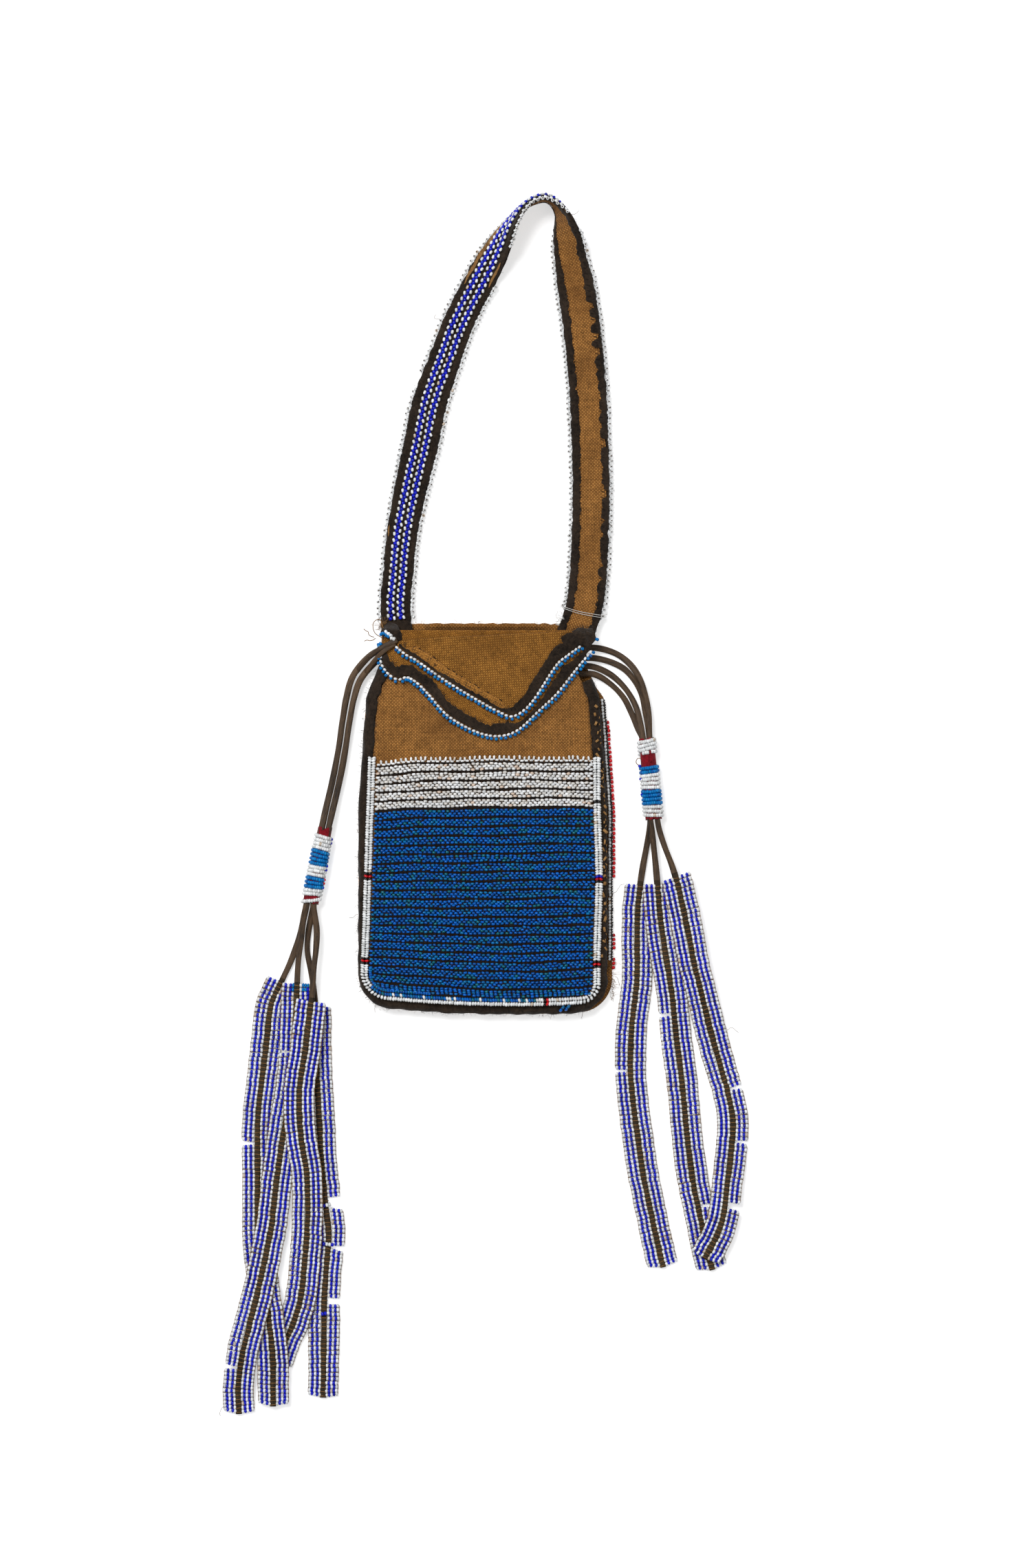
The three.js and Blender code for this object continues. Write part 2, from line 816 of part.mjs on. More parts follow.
const beadFrom = 1; // bead lines stop short of the strap's ends
const beadTo = stations.length - 1;
add("strap_facing", strapLayer(facingSection), blackWool);
add("strap_lining", strapLayer(liningSection), brownCloth);
add("strap_bead_line_left", strapLayer(lineSection(-strapLineOffset), beadFrom, beadTo), cobaltBeads);
add("strap_bead_line_right", strapLayer(lineSection(strapLineOffset), beadFrom, beadTo), cobaltBeads);
add("strap_bead_edge_left", strapLayer(edgeSection(-1), beadFrom, beadTo), whiteBeads);
add("strap_bead_edge_right", strapLayer(edgeSection(1), beadFrom, beadTo), whiteBeads);

// Thongs

// A flat leather lace with eight sides
function thongSection() {
  const w = thongWidth / 2;
  const t = thongThickness / 2;
  const corners = [
    [t, w * 0.6],
    [t * 0.6, w],
    [-t * 0.6, w],
    [-t, w * 0.6],
    [-t, -w * 0.6],
    [-t * 0.6, -w],
    [t * 0.6, -w],
    [t, -w * 0.6],
  ];
  return new THREE.Shape(corners.map(([x, y]) => new THREE.Vector2(x, y)));
}

// Last stretch of a path, of a given length
function tail(path, length) {
  const kept = [path[path.length - 1]];
  let left = length;
  for (let i = path.length - 2; i >= 0; i--) {
    const next = kept[kept.length - 1];
    const step = next.distanceTo(path[i]);
    if (step >= left) {
      kept.push(next.clone().lerp(path[i], left / step));
      break;
    }
    kept.push(path[i]);
    left -= step;
  }
  return kept.reverse();
}

// Bead band beside a thong, on the side of the given sign: the cobalt columns stand up between the white
function stripSection(sign) {
  const inner = thongWidth / 2 + seam;
  const column = stripBand / stripColumns;
  const low = -thongThickness / 2;
  const shape = [
    [0, 0],
    [stripColumns, 0],
    [stripColumns, 0.6],
    [stripColumns - 1.5, 1],
    [1.5, 1],
    [0, 0.6],
  ];
  return shape.map(([c, h]) => [sign * (inner + c * column), low + h * stripHeight]);
}

function addThong(name, route, steps) {
  const path = new THREE.CatmullRomCurve3(route.map((p) => point(...p)), false, "centripetal");
  const lace = new THREE.ExtrudeGeometry(thongSection(), { steps, extrudePath: path, bevelEnabled: false });
  add(name, lace, leather);
  return path.getSpacedPoints(steps);
}

function addStrip(name, path, length) {
  const stretch = tail(path, length);
  add(name + "_left_band", ribbon(stretch, stripSection(1)), cobaltBeads);
  add(name + "_right_band", ribbon(stretch, stripSection(-1)), cobaltBeads);
}

// Routes: x, y and z of the middle of each thong, from inside the pouch to its far end
const leftRoutes = [
  [
    [-35.1, 75, 2.5], [-40.4, 76.6, 2.5], [-47, 76.8, 2.5], [-53.3, 72.7, 1.4],
    [-59.2, 65.1, 1.05], [-62.2, 55.4, 1.05], [-63.8, 45.9, 1.05], [-65.6, 33.4, 1.05],
    [-67.8, 20.9, 1.05], [-70.6, 8.5, 1.45], [-73.4, -4.1, 2.85], [-76.7, -20.9, 2.9],
    [-80.2, -38.8, 2.9], [-81.6, -45, 1.6], [-83.8, -54.4, 1.05], [-87.5, -64.7, 1.05],
    [-91.2, -72.8, 1.05], [-96.2, -83.8, 1.05], [-98.4, -99.7, 1.05], [-100.9, -119.7, 1.05],
    [-102.5, -137.2, 1.05], [-102.8, -153.1, 1.05], [-102.8, -176.9, 1.05], [-102.5, -190.3, 1.05],
    [-101.2, -204.4, 1.28], [-99.4, -215.9, 2.89], [-97.8, -224.7, 4.96], [-96.6, -233.1, 5.07],
    [-95.6, -244.1, 4.04], [-95.6, -255.9, 3.46], [-95.6, -267.5, 3.35],
  ],
  [
    [-35.1, 75, 4.6], [-40.4, 76.6, 4.6], [-47, 76.8, 4.6], [-53.3, 72.7, 3.5],
    [-59.2, 65.1, 3.15], [-62.2, 55.4, 3.15], [-63.8, 45.9, 3.15], [-65.6, 33.4, 3.15],
    [-67.8, 20.9, 3.15], [-70.6, 8.5, 3.55], [-73.4, -4.1, 4.95], [-76.7, -20.9, 5],
    [-80.2, -38.8, 5], [-81.6, -45, 4.3], [-82.8, -54.4, 3.7], [-84.1, -65.3, 3.35],
    [-84.7, -77.8, 3.35], [-85, -91.6, 3.35], [-86.2, -109.1, 3.35], [-87.8, -124.7, 3.35],
    [-90, -138.8, 3.35], [-92.8, -155.9, 3.35], [-94.7, -170, 3.35], [-96.2, -186.2, 3.35],
    [-98.8, -198.8, 3.58], [-101.6, -210.9, 4.84], [-104.1, -221.6, 7.03], [-106.2, -230.9, 7.49],
    [-108.8, -240.9, 6.68], [-110.3, -249.1, 4.5], [-111.6, -258.4, 2.43], [-111.2, -271.2, 1.28],
  ],
  [
    [-36.1, 71.9, 4.6], [-40.9, 73.4, 4.6], [-46, 73.4, 4.6], [-50.6, 69.9, 3.5],
    [-55.9, 63.2, 3.15], [-58.8, 54.5, 3.15], [-60.6, 45.4, 3.15], [-62.5, 32.9, 3.15],
    [-64.7, 20.3, 3.15], [-67.5, 7.8, 3.55], [-70.3, -4.7, 4.95], [-73.6, -21.6, 5],
    [-77.1, -39.4, 5], [-76.6, -43.4, 4.9], [-75.6, -50.3, 5.1], [-75.9, -59.1, 5.4],
    [-76.9, -68.4, 5.65], [-77.8, -80.9, 5.65], [-79.4, -93.4, 5.65], [-81.2, -106.6, 5.65],
    [-83.1, -120, 5.65], [-83.4, -131.6, 5.65], [-82.5, -146.6, 5.65], [-80.3, -160.3, 5.65],
    [-79.7, -170, 4.73], [-79.7, -179.4, 3.69], [-80.3, -191.9, 3.46], [-81.6, -204.7, 3.46],
    [-82.5, -215.3, 3.46], [-84.4, -224.1, 3.4], [-87.5, -232.8, 1.51], [-90.9, -240, 1.05],
    [-94.4, -249.7, 1.05],
  ],
  [
    [-36.1, 71.9, 2.5], [-40.9, 73.4, 2.5], [-46, 73.4, 2.5], [-50.6, 69.9, 1.4],
    [-55.9, 63.2, 1.05], [-58.8, 54.5, 1.05], [-60.6, 45.4, 1.05], [-62.5, 32.9, 1.05],
    [-64.7, 20.3, 1.05], [-67.5, 7.8, 1.45], [-70.3, -4.7, 2.85], [-73.6, -21.6, 2.9],
    [-77.1, -39.4, 2.9], [-78.1, -44.1, 2.3], [-79.7, -52.8, 1.2], [-80, -60.6, 1.05],
    [-78.4, -69.1, 1.05], [-76.9, -79.4, 1.05], [-76.2, -93.4, 1.05], [-75.9, -105.9, 1.05],
    [-75.6, -118.4, 1.05], [-74.7, -137.2, 1.05], [-73.1, -160.9, 1.05], [-71.6, -176.9, 1.05],
    [-70.3, -189.4, 1.05], [-71.2, -201.6, 1.05], [-72.2, -215.9, 1.05], [-72.5, -235, 1.05],
    [-72.8, -263.8, 1.05],
  ],
];
const rightRoutes = [
  [
    [42.5, 77.2, 2.4], [48.8, 78.1, 2.4], [55.6, 77.2, 1.4], [61.9, 74.7, 1.05],
    [67.5, 70, 2.2], [71.7, 63.4, 3.3], [74.1, 55.9, 3.45], [75.6, 46.9, 3.9],
    [75.9, 36.6, 4.95], [77.7, 18.4, 5], [79.4, 0, 5], [80.3, -5, 5.1],
    [82.8, -12.8, 5.4], [85.9, -20.9, 5.65], [88.4, -29.1, 5.65], [90.9, -40.3, 5.65],
    [94.4, -56.6, 5.65], [96.2, -65.9, 5.65], [98.4, -75.3, 5.42], [100.9, -85.9, 3.81],
    [104.4, -99.1, 1.97], [108.1, -111.6, 1.05], [111.6, -124.7, 1.05], [113.8, -137.5, 1.05],
    [113.4, -149.7, 1.28], [112.2, -160.6, 2.43], [110.9, -169.4, 3.58], [109.7, -178.8, 3.69],
    [107.8, -186.2, 3.69], [105, -192.8, 3.69], [100.9, -200.3, 3.69],
  ],
  [
    [42.5, 73.1, 2.4], [49.4, 73.4, 2.4], [57.2, 71.9, 1.2], [64.4, 68.4, 1.05],
    [69.1, 63.1, 1.05], [72.5, 56.2, 1.05], [74.1, 48.4, 1.3], [75.3, 41.6, 2.2],
    [75.9, 36.6, 2.85], [77.5, 20.3, 2.9],
  ],
  [
    [42.5, 69.7, 2.4], [50, 69.4, 2.4], [58.1, 65.9, 1.2], [65, 59.4, 1.05],
    [69.4, 51.9, 1.8], [71.6, 44.1, 3.75], [72.8, 36.6, 4.95], [74.5, 18.4, 5],
    [76.2, 0, 5], [76.9, -5, 4.5], [77.8, -12.8, 3.7], [78.8, -22.2, 3.35],
    [79.7, -32.5, 3.35], [80.9, -45, 3.35], [82.8, -59.1, 3.35], [84.7, -70.9, 3.35],
    [86.6, -84.1, 2.2], [88.1, -98.1, 1.05], [90, -114.1, 1.05], [91.6, -129.4, 1.05],
    [93.8, -149.7, 1.05], [95.9, -166.6, 1.05], [98.8, -180.3, 1.05], [101.2, -191.9, 1.05],
    [104.7, -205.6, 1.05],
  ],
  [
    [42.5, 65.9, 2.4], [50.6, 65.9, 2.4], [58.1, 61.6, 1.2], [64.1, 55.3, 1.05],
    [67.8, 48.1, 1.05], [70.6, 41.2, 1.9], [72.8, 36.6, 2.85], [74.5, 18.4, 2.9],
    [76.2, 0, 2.9], [75.9, -5, 2.2], [74.7, -12.2, 1.2], [73.1, -20.9, 1.05],
    [71.6, -30.9, 1.05], [70.6, -43.4, 1.05], [70.3, -59.1, 1.05], [70, -74.7, 1.05],
    [68.4, -90.3, 1.05], [67.5, -102.8, 1.05], [67.2, -115.3, 1.05], [68.4, -128.8, 1.05],
    [70.9, -146.2, 1.05], [72.8, -160.9, 1.05], [75.6, -175.3, 1.05], [79.1, -190.3, 1.05],
    [82.2, -204.4, 1.05],
  ],
];
const leftSteps = [31, 31, 30, 29];
const rightSteps = [27, 9, 25, 25];
const leftStrips = [197, 200, 171, 180]; // beaded length at the end of each thong
const rightStrips = [182, 0, 179, 177]; // the second right thong ends inside its sleeve

leftRoutes.forEach((route, i) => {
  const path = addThong("left_thong_" + (i + 1), route, leftSteps[i]);
  addStrip("left_strip_" + (i + 1), path, leftStrips[i]);
});

rightRoutes.forEach((route, i) => {
  const path = addThong("right_thong_" + (i + 1), route, rightSteps[i]);
  if (rightStrips[i] > 0) addStrip("right_strip_" + (i + 1), path, rightStrips[i]);
});

// Sleeves: a red wool tube round the four thongs, wrapped in rows of beads

const woolHalf = sleeveBore.map((half) => half + sleeveWool);
const beadBore = woolHalf.map((half) => half + seam);
const sleeveHeight = beadBore[1] + sleeveBead + floorGap;
const leftSleeveTop = point(-71.9, -4.4, sleeveHeight);
const leftSleeveFoot = point(-78.4, -38.1, sleeveHeight);
const rightSleeveTop = point(74.4, 36.6, sleeveHeight);
const rightSleeveFoot = point(77.8, 0, sleeveHeight);
const leftRows = 16;
const leftFootGap = 1.4; // red wool between the last two bead rows
const rightUpperRows = 4;
const rightLowerRows = 13;

// Eight-sided oval round the sleeve's axis
function ovalRing(centre, side, halfWidth, halfHeight) {
  const corners = [
    [1, sleeveFlat],
    [sleeveFlat, 1],
    [-sleeveFlat, 1],
    [-1, sleeveFlat],
    [-1, -sleeveFlat],
    [-sleeveFlat, -1],
    [sleeveFlat, -1],
    [1, -sleeveFlat],
  ];
  return corners.map(([s, h]) =>
    centre.clone().addScaledVector(side, s * halfWidth).add(point(0, 0, h * halfHeight)),
  );
}

// Hollow sleeve: profile is a list of [distance along the axis, thickness over the bore]
function sleeve(top, foot, bore, profile) {
  const way = foot.clone().sub(top).normalize();
  const side = point(way.y, -way.x);
  const at = (d) => top.clone().addScaledVector(way, d);
  const outside = profile.map(([d, t]) => ovalRing(at(d), side, bore[0] + t, bore[1] + t));
  const ends = [profile[profile.length - 1][0], profile[0][0]];
  const inside = ends.map((d) => ovalRing(at(d), side, bore[0], bore[1]));
  return skin([...outside, ...inside], true);
}

function woolProfile(from, to) {
  return [
    [from, sleeveWool],
    [to, sleeveWool],
  ];
}

// Each bead row is a ridge round the sleeve
function rowProfile(from, rows) {
  const profile = [[from, sleeveBead - sleeveGroove]];
  for (let r = 0; r < rows; r++) {
    profile.push([from + (r + 0.5) * sleeveRow, sleeveBead]);
    profile.push([from + (r + 1) * sleeveRow, sleeveBead - sleeveGroove]);
  }
  return profile;
}

const leftLength = leftSleeveTop.distanceTo(leftSleeveFoot);
const rightLength = rightSleeveTop.distanceTo(rightSleeveFoot);
const leftFootRow = woolShowing + leftRows * sleeveRow + leftFootGap;
const rightLowerFrom = rightLength - rightLowerRows * sleeveRow - woolShowing / 2;
const leftWool = woolProfile(0, leftLength);
const rightWool = woolProfile(woolSetback, rightLength);
const leftBeads = rowProfile(woolShowing, leftRows);
const leftFoot = rowProfile(leftFootRow, 1);
const rightUpper = rowProfile(0, rightUpperRows);
const rightLower = rowProfile(rightLowerFrom, rightLowerRows);
add("left_sleeve_wool", sleeve(leftSleeveTop, leftSleeveFoot, sleeveBore, leftWool), redWool);
add("left_sleeve_beads", sleeve(leftSleeveTop, leftSleeveFoot, beadBore, leftBeads), whiteBeads);
add("left_sleeve_foot_row", sleeve(leftSleeveTop, leftSleeveFoot, beadBore, leftFoot), whiteBeads);
add("right_sleeve_wool", sleeve(rightSleeveTop, rightSleeveFoot, sleeveBore, rightWool), redWool);
add("right_sleeve_upper_beads", sleeve(rightSleeveTop, rightSleeveFoot, beadBore, rightUpper), whiteBeads);
add("right_sleeve_lower_beads", sleeve(rightSleeveTop, rightSleeveFoot, beadBore, rightLower), whiteBeads);

export default bag;
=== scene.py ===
import math
import bpy
import numpy as np
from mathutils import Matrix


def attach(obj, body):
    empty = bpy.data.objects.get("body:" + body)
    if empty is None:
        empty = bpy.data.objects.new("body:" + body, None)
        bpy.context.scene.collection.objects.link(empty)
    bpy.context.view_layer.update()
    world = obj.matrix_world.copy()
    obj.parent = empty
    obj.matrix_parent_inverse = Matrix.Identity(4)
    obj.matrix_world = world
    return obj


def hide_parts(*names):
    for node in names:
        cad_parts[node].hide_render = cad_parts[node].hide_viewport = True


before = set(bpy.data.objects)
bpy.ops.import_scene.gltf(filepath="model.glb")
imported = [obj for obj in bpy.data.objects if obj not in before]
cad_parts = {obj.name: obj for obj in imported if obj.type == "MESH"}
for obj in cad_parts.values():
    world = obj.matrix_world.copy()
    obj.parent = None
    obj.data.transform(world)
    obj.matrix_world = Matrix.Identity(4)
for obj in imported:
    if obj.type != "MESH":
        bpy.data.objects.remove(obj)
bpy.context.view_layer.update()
scene = bpy.context.scene
scene.view_settings.view_transform = "Standard"
mm = 0.001  # sizes below are in millimetres, as in the CAD
rng = np.random.default_rng(11)  # tone and turn of single beads


# small tools for node trees
def node(tree, kind, values=None, **fields):
    made = tree.nodes.new("ShaderNode" + kind)
    for key, value in fields.items():
        setattr(made, key, value)
    for key, value in (values or {}).items():
        made.inputs[key].default_value = value
    return made


def wire(tree, *pairs):
    for out, into in pairs:
        tree.links.new(out, into)


# a plain value is set on the socket, an output is linked to it
def feed(tree, socket, value):
    if isinstance(value, (int, float, tuple)):
        socket.default_value = value
    else:
        tree.links.new(value, socket)


def mathNode(tree, operation, a, b=None, clamp=False):
    made = node(tree, "Math", operation=operation, use_clamp=clamp)
    for socket, value in zip(made.inputs, (a, b)):
        if value is not None:
            feed(tree, socket, value)
    return made.outputs[0]


def mixColour(tree, factor, a, b, blend="MIX"):
    made = node(tree, "Mix", data_type="RGBA", blend_type=blend)
    for index, value in ((0, factor), (6, a), (7, b)):  # where a colour mix has its sockets
        feed(tree, made.inputs[index], value)
    return made.outputs[2]


def newMaterial(name, roughness, specular):
    mat = bpy.data.materials.new(name)
    mat.use_nodes = True
    shader = mat.node_tree.nodes["Principled BSDF"]
    shader.inputs["Roughness"].default_value = roughness
    shader.inputs["Specular IOR Level"].default_value = specular
    return mat, mat.node_tree, shader


# camera straight above, floor and soft light
shot = dict(pixels=(1467, 2280), perMm=3.2, zeroPixel=(702, 1191), height=2.008, aimHeight=0.008, sensor=36,
            farthest=20)
stage = dict(floorSize=6.0, floorColour=(0.86, 0.86, 0.86), lift=0.52, worldLevel=0.27)
lights = [
    dict(name="softKey", at=(-1.05, 1.4, 2.6), size=1.3, watts=70),
    dict(name="softFill", at=(1.4, -0.6, 2.2), size=1.6, watts=9),
]


def setTheStage():
    centreX = (shot["pixels"][0] / 2 - shot["zeroPixel"][0]) / shot["perMm"] * mm
    centreY = (shot["zeroPixel"][1] - shot["pixels"][1] / 2) / shot["perMm"] * mm
    data = bpy.data.cameras.new("topCamera")
    data.sensor_width = shot["sensor"]
    across = shot["pixels"][1] / shot["perMm"] * mm
    data.lens = shot["sensor"] * (shot["height"] - shot["aimHeight"]) / across
    data.clip_end = shot["farthest"]
    camera = bpy.data.objects.new("topCamera", data)
    camera.location = (centreX, centreY, shot["height"])
    scene.collection.objects.link(camera)
    scene.camera = camera

    for lamp in lights:
        light = bpy.data.lights.new(lamp["name"], "AREA")
        light.energy = lamp["watts"]
        light.size = lamp["size"]
        obj = bpy.data.objects.new(lamp["name"], light)
        obj.location = lamp["at"]
        x, y, z = lamp["at"]
        obj.rotation_euler = (math.atan2(math.hypot(x, y), z), 0, math.atan2(y, x) + math.pi / 2)
        scene.collection.objects.link(obj)

    world = bpy.data.worlds.new("softRoom")
    world.use_nodes = True
    sky = world.node_tree.nodes["Background"]
    sky.inputs["Color"].default_value = (1, 1, 1, 1)
    sky.inputs["Strength"].default_value = stage["worldLevel"]
    scene.world = world

    # pale floor, lifted to white where it is seen
    mat, tree, paint = newMaterial("paleFloor", 0.9, 0.0)
    paint.inputs["Base Color"].default_value = (*stage["floorColour"], 1)
    paint.inputs["Emission Color"].default_value = (1, 1, 1, 1)
    rays = node(tree, "LightPath").outputs
    seen = mathNode(tree, "MAXIMUM", rays["Is Camera Ray"], rays["Is Glossy Ray"])
    seen = mathNode(tree, "MAXIMUM", seen, rays["Is Transmission Ray"])
    wire(tree, (mathNode(tree, "MULTIPLY", seen, stage["lift"]), paint.inputs["Emission Strength"]))
    half = stage["floorSize"] / 2
    mesh = bpy.data.meshes.new("paleFloor")
    mesh.from_pydata([(-half, -half, 0), (half, -half, 0), (half, half, 0), (-half, half, 0)], [], [(0, 1, 2, 3)])
    mesh.materials.append(mat)
    floor = bpy.data.objects.new("paleFloor", mesh)
    scene.collection.objects.link(floor)


setTheStage()
print("stage: camera, floor and light")


# small tools for shapes
def smoothStep(x, low, high):
    t = np.clip((np.asarray(x, float) - low) / (high - low), 0, 1)
    return t * t * (3 - 2 * t)


def unit(v):
    v = np.asarray(v, float)
    return v / np.maximum(np.linalg.norm(v, axis=-1, keepdims=True), 1e-9)


def xyz(x, y, z):
    return np.stack(np.broadcast_arrays(x, y, z), -1)


def lengthOf(points):
    return float(np.linalg.norm(np.diff(np.asarray(points, float), axis=0), axis=1).sum())


# length from the first point to each
def runOf(points):
    return np.concatenate([[0], np.cumsum(np.linalg.norm(np.diff(points, axis=0), axis=1))])


# rows of values at places along a run
def pick(at, run, values):
    return np.stack([np.interp(at, run, column) for column in values.T], -1)


def respace(points, count):
    points = np.asarray(points, float)
    run = runOf(points)
    return pick(np.linspace(0, run[-1], count), run, points)


# points of one span of a smooth curve, from its ends and its slopes there
def spanPoints(first, last, slopeFirst, slopeLast):
    t = np.linspace(0, 1, 24, endpoint=False)[:, None]
    return ((2 * t**3 - 3 * t**2 + 1) * first + (t**3 - 2 * t**2 + t) * slopeFirst
            + (3 * t**2 - 2 * t**3) * last + (t**3 - t**2) * slopeLast)


# smooth curve through points, with slack by the root of the spacing
def smoothRoute(points, count):
    p = np.asarray(points, float)
    q = np.vstack([2 * p[0] - p[1], p, 2 * p[-1] - p[-2]])
    dense = []
    for a, b, c, d in zip(q, q[1:], q[2:], q[3:]):
        ta, tb, tc = (max(np.linalg.norm(e), 1e-6) ** 0.5 for e in (b - a, c - b, d - c))
        slopeB = ((b - a) / ta - (c - a) / (ta + tb) + (c - b) / tb) * tb
        slopeC = ((c - b) / tb - (d - b) / (tb + tc) + (d - c) / tc) * tb
        dense.append(spanPoints(b, c, slopeB, slopeC))
    return respace(np.vstack([*dense, p[-1:]]), count)


def tangents(points):
    return unit(np.gradient(np.asarray(points, float), axis=0))


# level direction to the right of travel
def rightOf(points):
    way = tangents(points)
    return unit(xyz(way[:, 1], -way[:, 0], 0))


# a direction square to each way
def squareTo(way):
    helper = np.where(np.abs(way[:, 2:]) < 0.9, [[0, 0, 1.0]], [[1.0, 0, 0]])
    return unit(np.cross(way, helper))


# uneven waves over a surface, about so far apart
def ripple(x, y, amount, spacing, seed):
    r = np.random.default_rng(seed)
    total = 0
    for _ in range(6):
        turn = r.uniform(0, 2 * math.pi)
        per = 2 * math.pi / (spacing * r.uniform(0.6, 1.7))
        total = total + np.sin((x * math.cos(turn) + y * math.sin(turn)) * per + r.uniform(0, 6.3))
    return amount * total / 3


def gridFaces(rows, cols, joined=False):
    i = np.arange(rows * cols).reshape(rows, cols)
    if joined:
        i = np.hstack([i, i[:, :1]])
    return np.stack([i[:-1, :-1], i[:-1, 1:], i[1:, 1:], i[1:, :-1]], -1).reshape(-1, 4)


def meshOf(verts, quads, materials, uv=None, tone=None, slots=None):
    mesh = bpy.data.meshes.new("shape")
    verts = np.asarray(verts, np.float64).reshape(-1, 3)
    quads = np.asarray(quads, np.int32)
    a, b, c, d = (verts[quads[:, k]] for k in range(4))
    volume = (np.einsum("ij,ij->i", a, np.cross(b, c)) + np.einsum("ij,ij->i", a, np.cross(c, d))).sum()
    if volume < 0:
        quads = quads[:, ::-1]
    mesh.vertices.add(len(verts))
    mesh.vertices.foreach_set("co", (verts * mm).astype(np.float32).ravel())
    mesh.loops.add(quads.size)
    mesh.loops.foreach_set("vertex_index", np.ascontiguousarray(quads).ravel())
    mesh.polygons.add(len(quads))
    mesh.polygons.foreach_set("loop_start", np.arange(0, quads.size, 4, dtype=np.int32))
    mesh.polygons.foreach_set("use_smooth", np.ones(len(quads), bool))
    for mat in materials:
        mesh.materials.append(mat)
    if slots is not None:
        mesh.polygons.foreach_set("material_index", np.asarray(slots, np.int32))
    mesh.update(calc_edges=True)
    if uv is not None:
        layer = mesh.uv_layers.new(name="cut")
        flat = np.asarray(uv, np.float32).reshape(-1, 2)[quads.ravel()] * mm
        layer.uv.foreach_set("vector", flat.ravel())
    if tone is not None:
        mesh.attributes.new("tone", "FLOAT", "POINT").data.foreach_set("value", np.asarray(tone, np.float32))
    mesh.validate()
    return mesh


def addPiece(name, mesh, slot, *nodes):
    mesh.name = name
    obj = bpy.data.objects.new(name, mesh)
    scene.collection.objects.link(obj)
    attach(obj, "root")
    if nodes:
        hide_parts(*nodes)
    return obj


# closed cloth from two grids of points, with its rim drawn in
def closedCloth(over, under, material, uv=None, pinch=0.3):
    over, under = np.array(over, float), np.array(under, float)
    uv = np.array(over[..., :2] if uv is None else uv, float).reshape(-1, 2)
    rows, cols = over.shape[:2]
    rim = np.zeros((rows, cols), bool)
    rim[[0, -1]] = True
    rim[:, [0, -1]] = True
    gap = (over - under)[rim] * pinch
    over[rim] -= gap
    under[rim] += gap
    n = rows * cols
    top = gridFaces(rows, cols)
    i = np.arange(n).reshape(rows, cols)
    ring = np.concatenate([i[0, :-1], i[:-1, -1], i[-1, :0:-1], i[:0:-1, 0]])
    after = np.roll(ring, -1)
    walls = np.stack([after, ring, ring + n, after + n], -1)
    quads = np.vstack([top, top[:, ::-1] + n, walls])
    verts = np.vstack([over.reshape(-1, 3), under.reshape(-1, 3)])
    return meshOf(verts, quads, [material], np.vstack([uv, uv]))


# first and last ring drawn in nearly to a point
def closeEnds(rings, first, last, share=0.05):
    return np.concatenate([first + (rings[:1] - first) * share, rings, last + (rings[-1:] - last) * share])


# tube with an oval section along stations
def sweep(points, side, up, halfWidth, halfHeight, sides=8, boxy=1.0):
    points, side, up = (np.asarray(a, float) for a in (points, side, up))
    angle = np.arange(sides) * 2 * math.pi / sides + math.pi / sides
    c, s = np.cos(angle), np.sin(angle)
    c, s = np.sign(c) * np.abs(c) ** boxy, np.sign(s) * np.abs(s) ** boxy
    w, h = (np.broadcast_to(np.asarray(half, float), len(points)) for half in (halfWidth, halfHeight))
    rings = (points[:, None] + side[:, None] * (c[None, :, None] * w[:, None, None])
             + up[:, None] * (s[None, :, None] * h[:, None, None]))
    rings = closeEnds(rings, points[:1, None], points[-1:, None])
    return rings.reshape(-1, 3), gridFaces(len(rings), sides, True)


# thin round thread through a few points
def thread(points, radius, sides=4):
    points = np.asarray(points, float)
    way = tangents(points)
    side = squareTo(way)
    return sweep(points, side, np.cross(side, way), radius, radius, sides)


def joinShapes(shapes):
    verts, quads, start = [], [], 0
    for v, q in shapes:
        verts.append(v)
        quads.append(q + start)
        start += len(v)
    return np.vstack(verts), np.vstack(quads)


# many small shapes as one piece
def addShapes(name, shapes, material, slot, bowed=False):
    mesh = meshOf(*joinShapes(shapes), [material])
    return addPiece(name, bowFoot(mesh) if bowed else mesh, slot)


# seed beads, all of one piece in one mesh
beadForm = dict(sides=6, profile=[(-0.5, 0.5), (-0.31, 0.95), (0.31, 0.95), (0.5, 0.5)])


class BeadBag:
    def __init__(self):
        self.rows = []

    def add(self, centre, axis, length, radius, slot=0, tone=None):
        n = len(np.atleast_2d(centre))
        tone = rng.random(n) if tone is None else np.broadcast_to(tone, n)
        self.rows.append((np.atleast_2d(centre), np.broadcast_to(axis, (n, 3)), np.broadcast_to(length, n),
                          np.broadcast_to(radius, n), np.broadcast_to(slot, n), tone))

    def mesh(self, *materials):
        centre, axis, length, radius, slot, tone = (np.concatenate(part) for part in zip(*self.rows))
        n, sides = len(centre), beadForm["sides"]
        axis = unit(axis)
        b = squareTo(axis)
        d = np.cross(axis, b)
        along, wide = np.array(beadForm["profile"]).T
        angle = np.arange(sides) * 2 * math.pi / sides + rng.normal(0, 0.1, n)[:, None]
        ring = b[:, None] * np.cos(angle)[..., None] + d[:, None] * np.sin(angle)[..., None]
        step = axis[:, None, None] * (along[None, :] * length[:, None])[..., None, None]
        out = ring[:, None] * (wide[None, :] * radius[:, None])[..., None, None]
        verts = centre[:, None, None] + step + out
        one = gridFaces(len(along), sides, True)
        count = len(along) * sides
        quads = (one[None] + (np.arange(n) * count)[:, None, None]).reshape(-1, 4)
        return meshOf(verts, quads, materials, tone=np.repeat(tone, count), slots=np.repeat(slot, len(one)))


# finishes
def srgb(r, g, b):
    part = [c / 255 for c in (r, g, b)]
    return tuple(c / 12.92 if c <= 0.04045 else ((c + 0.055) / 1.055) ** 2.4 for c in part) + (1.0,)


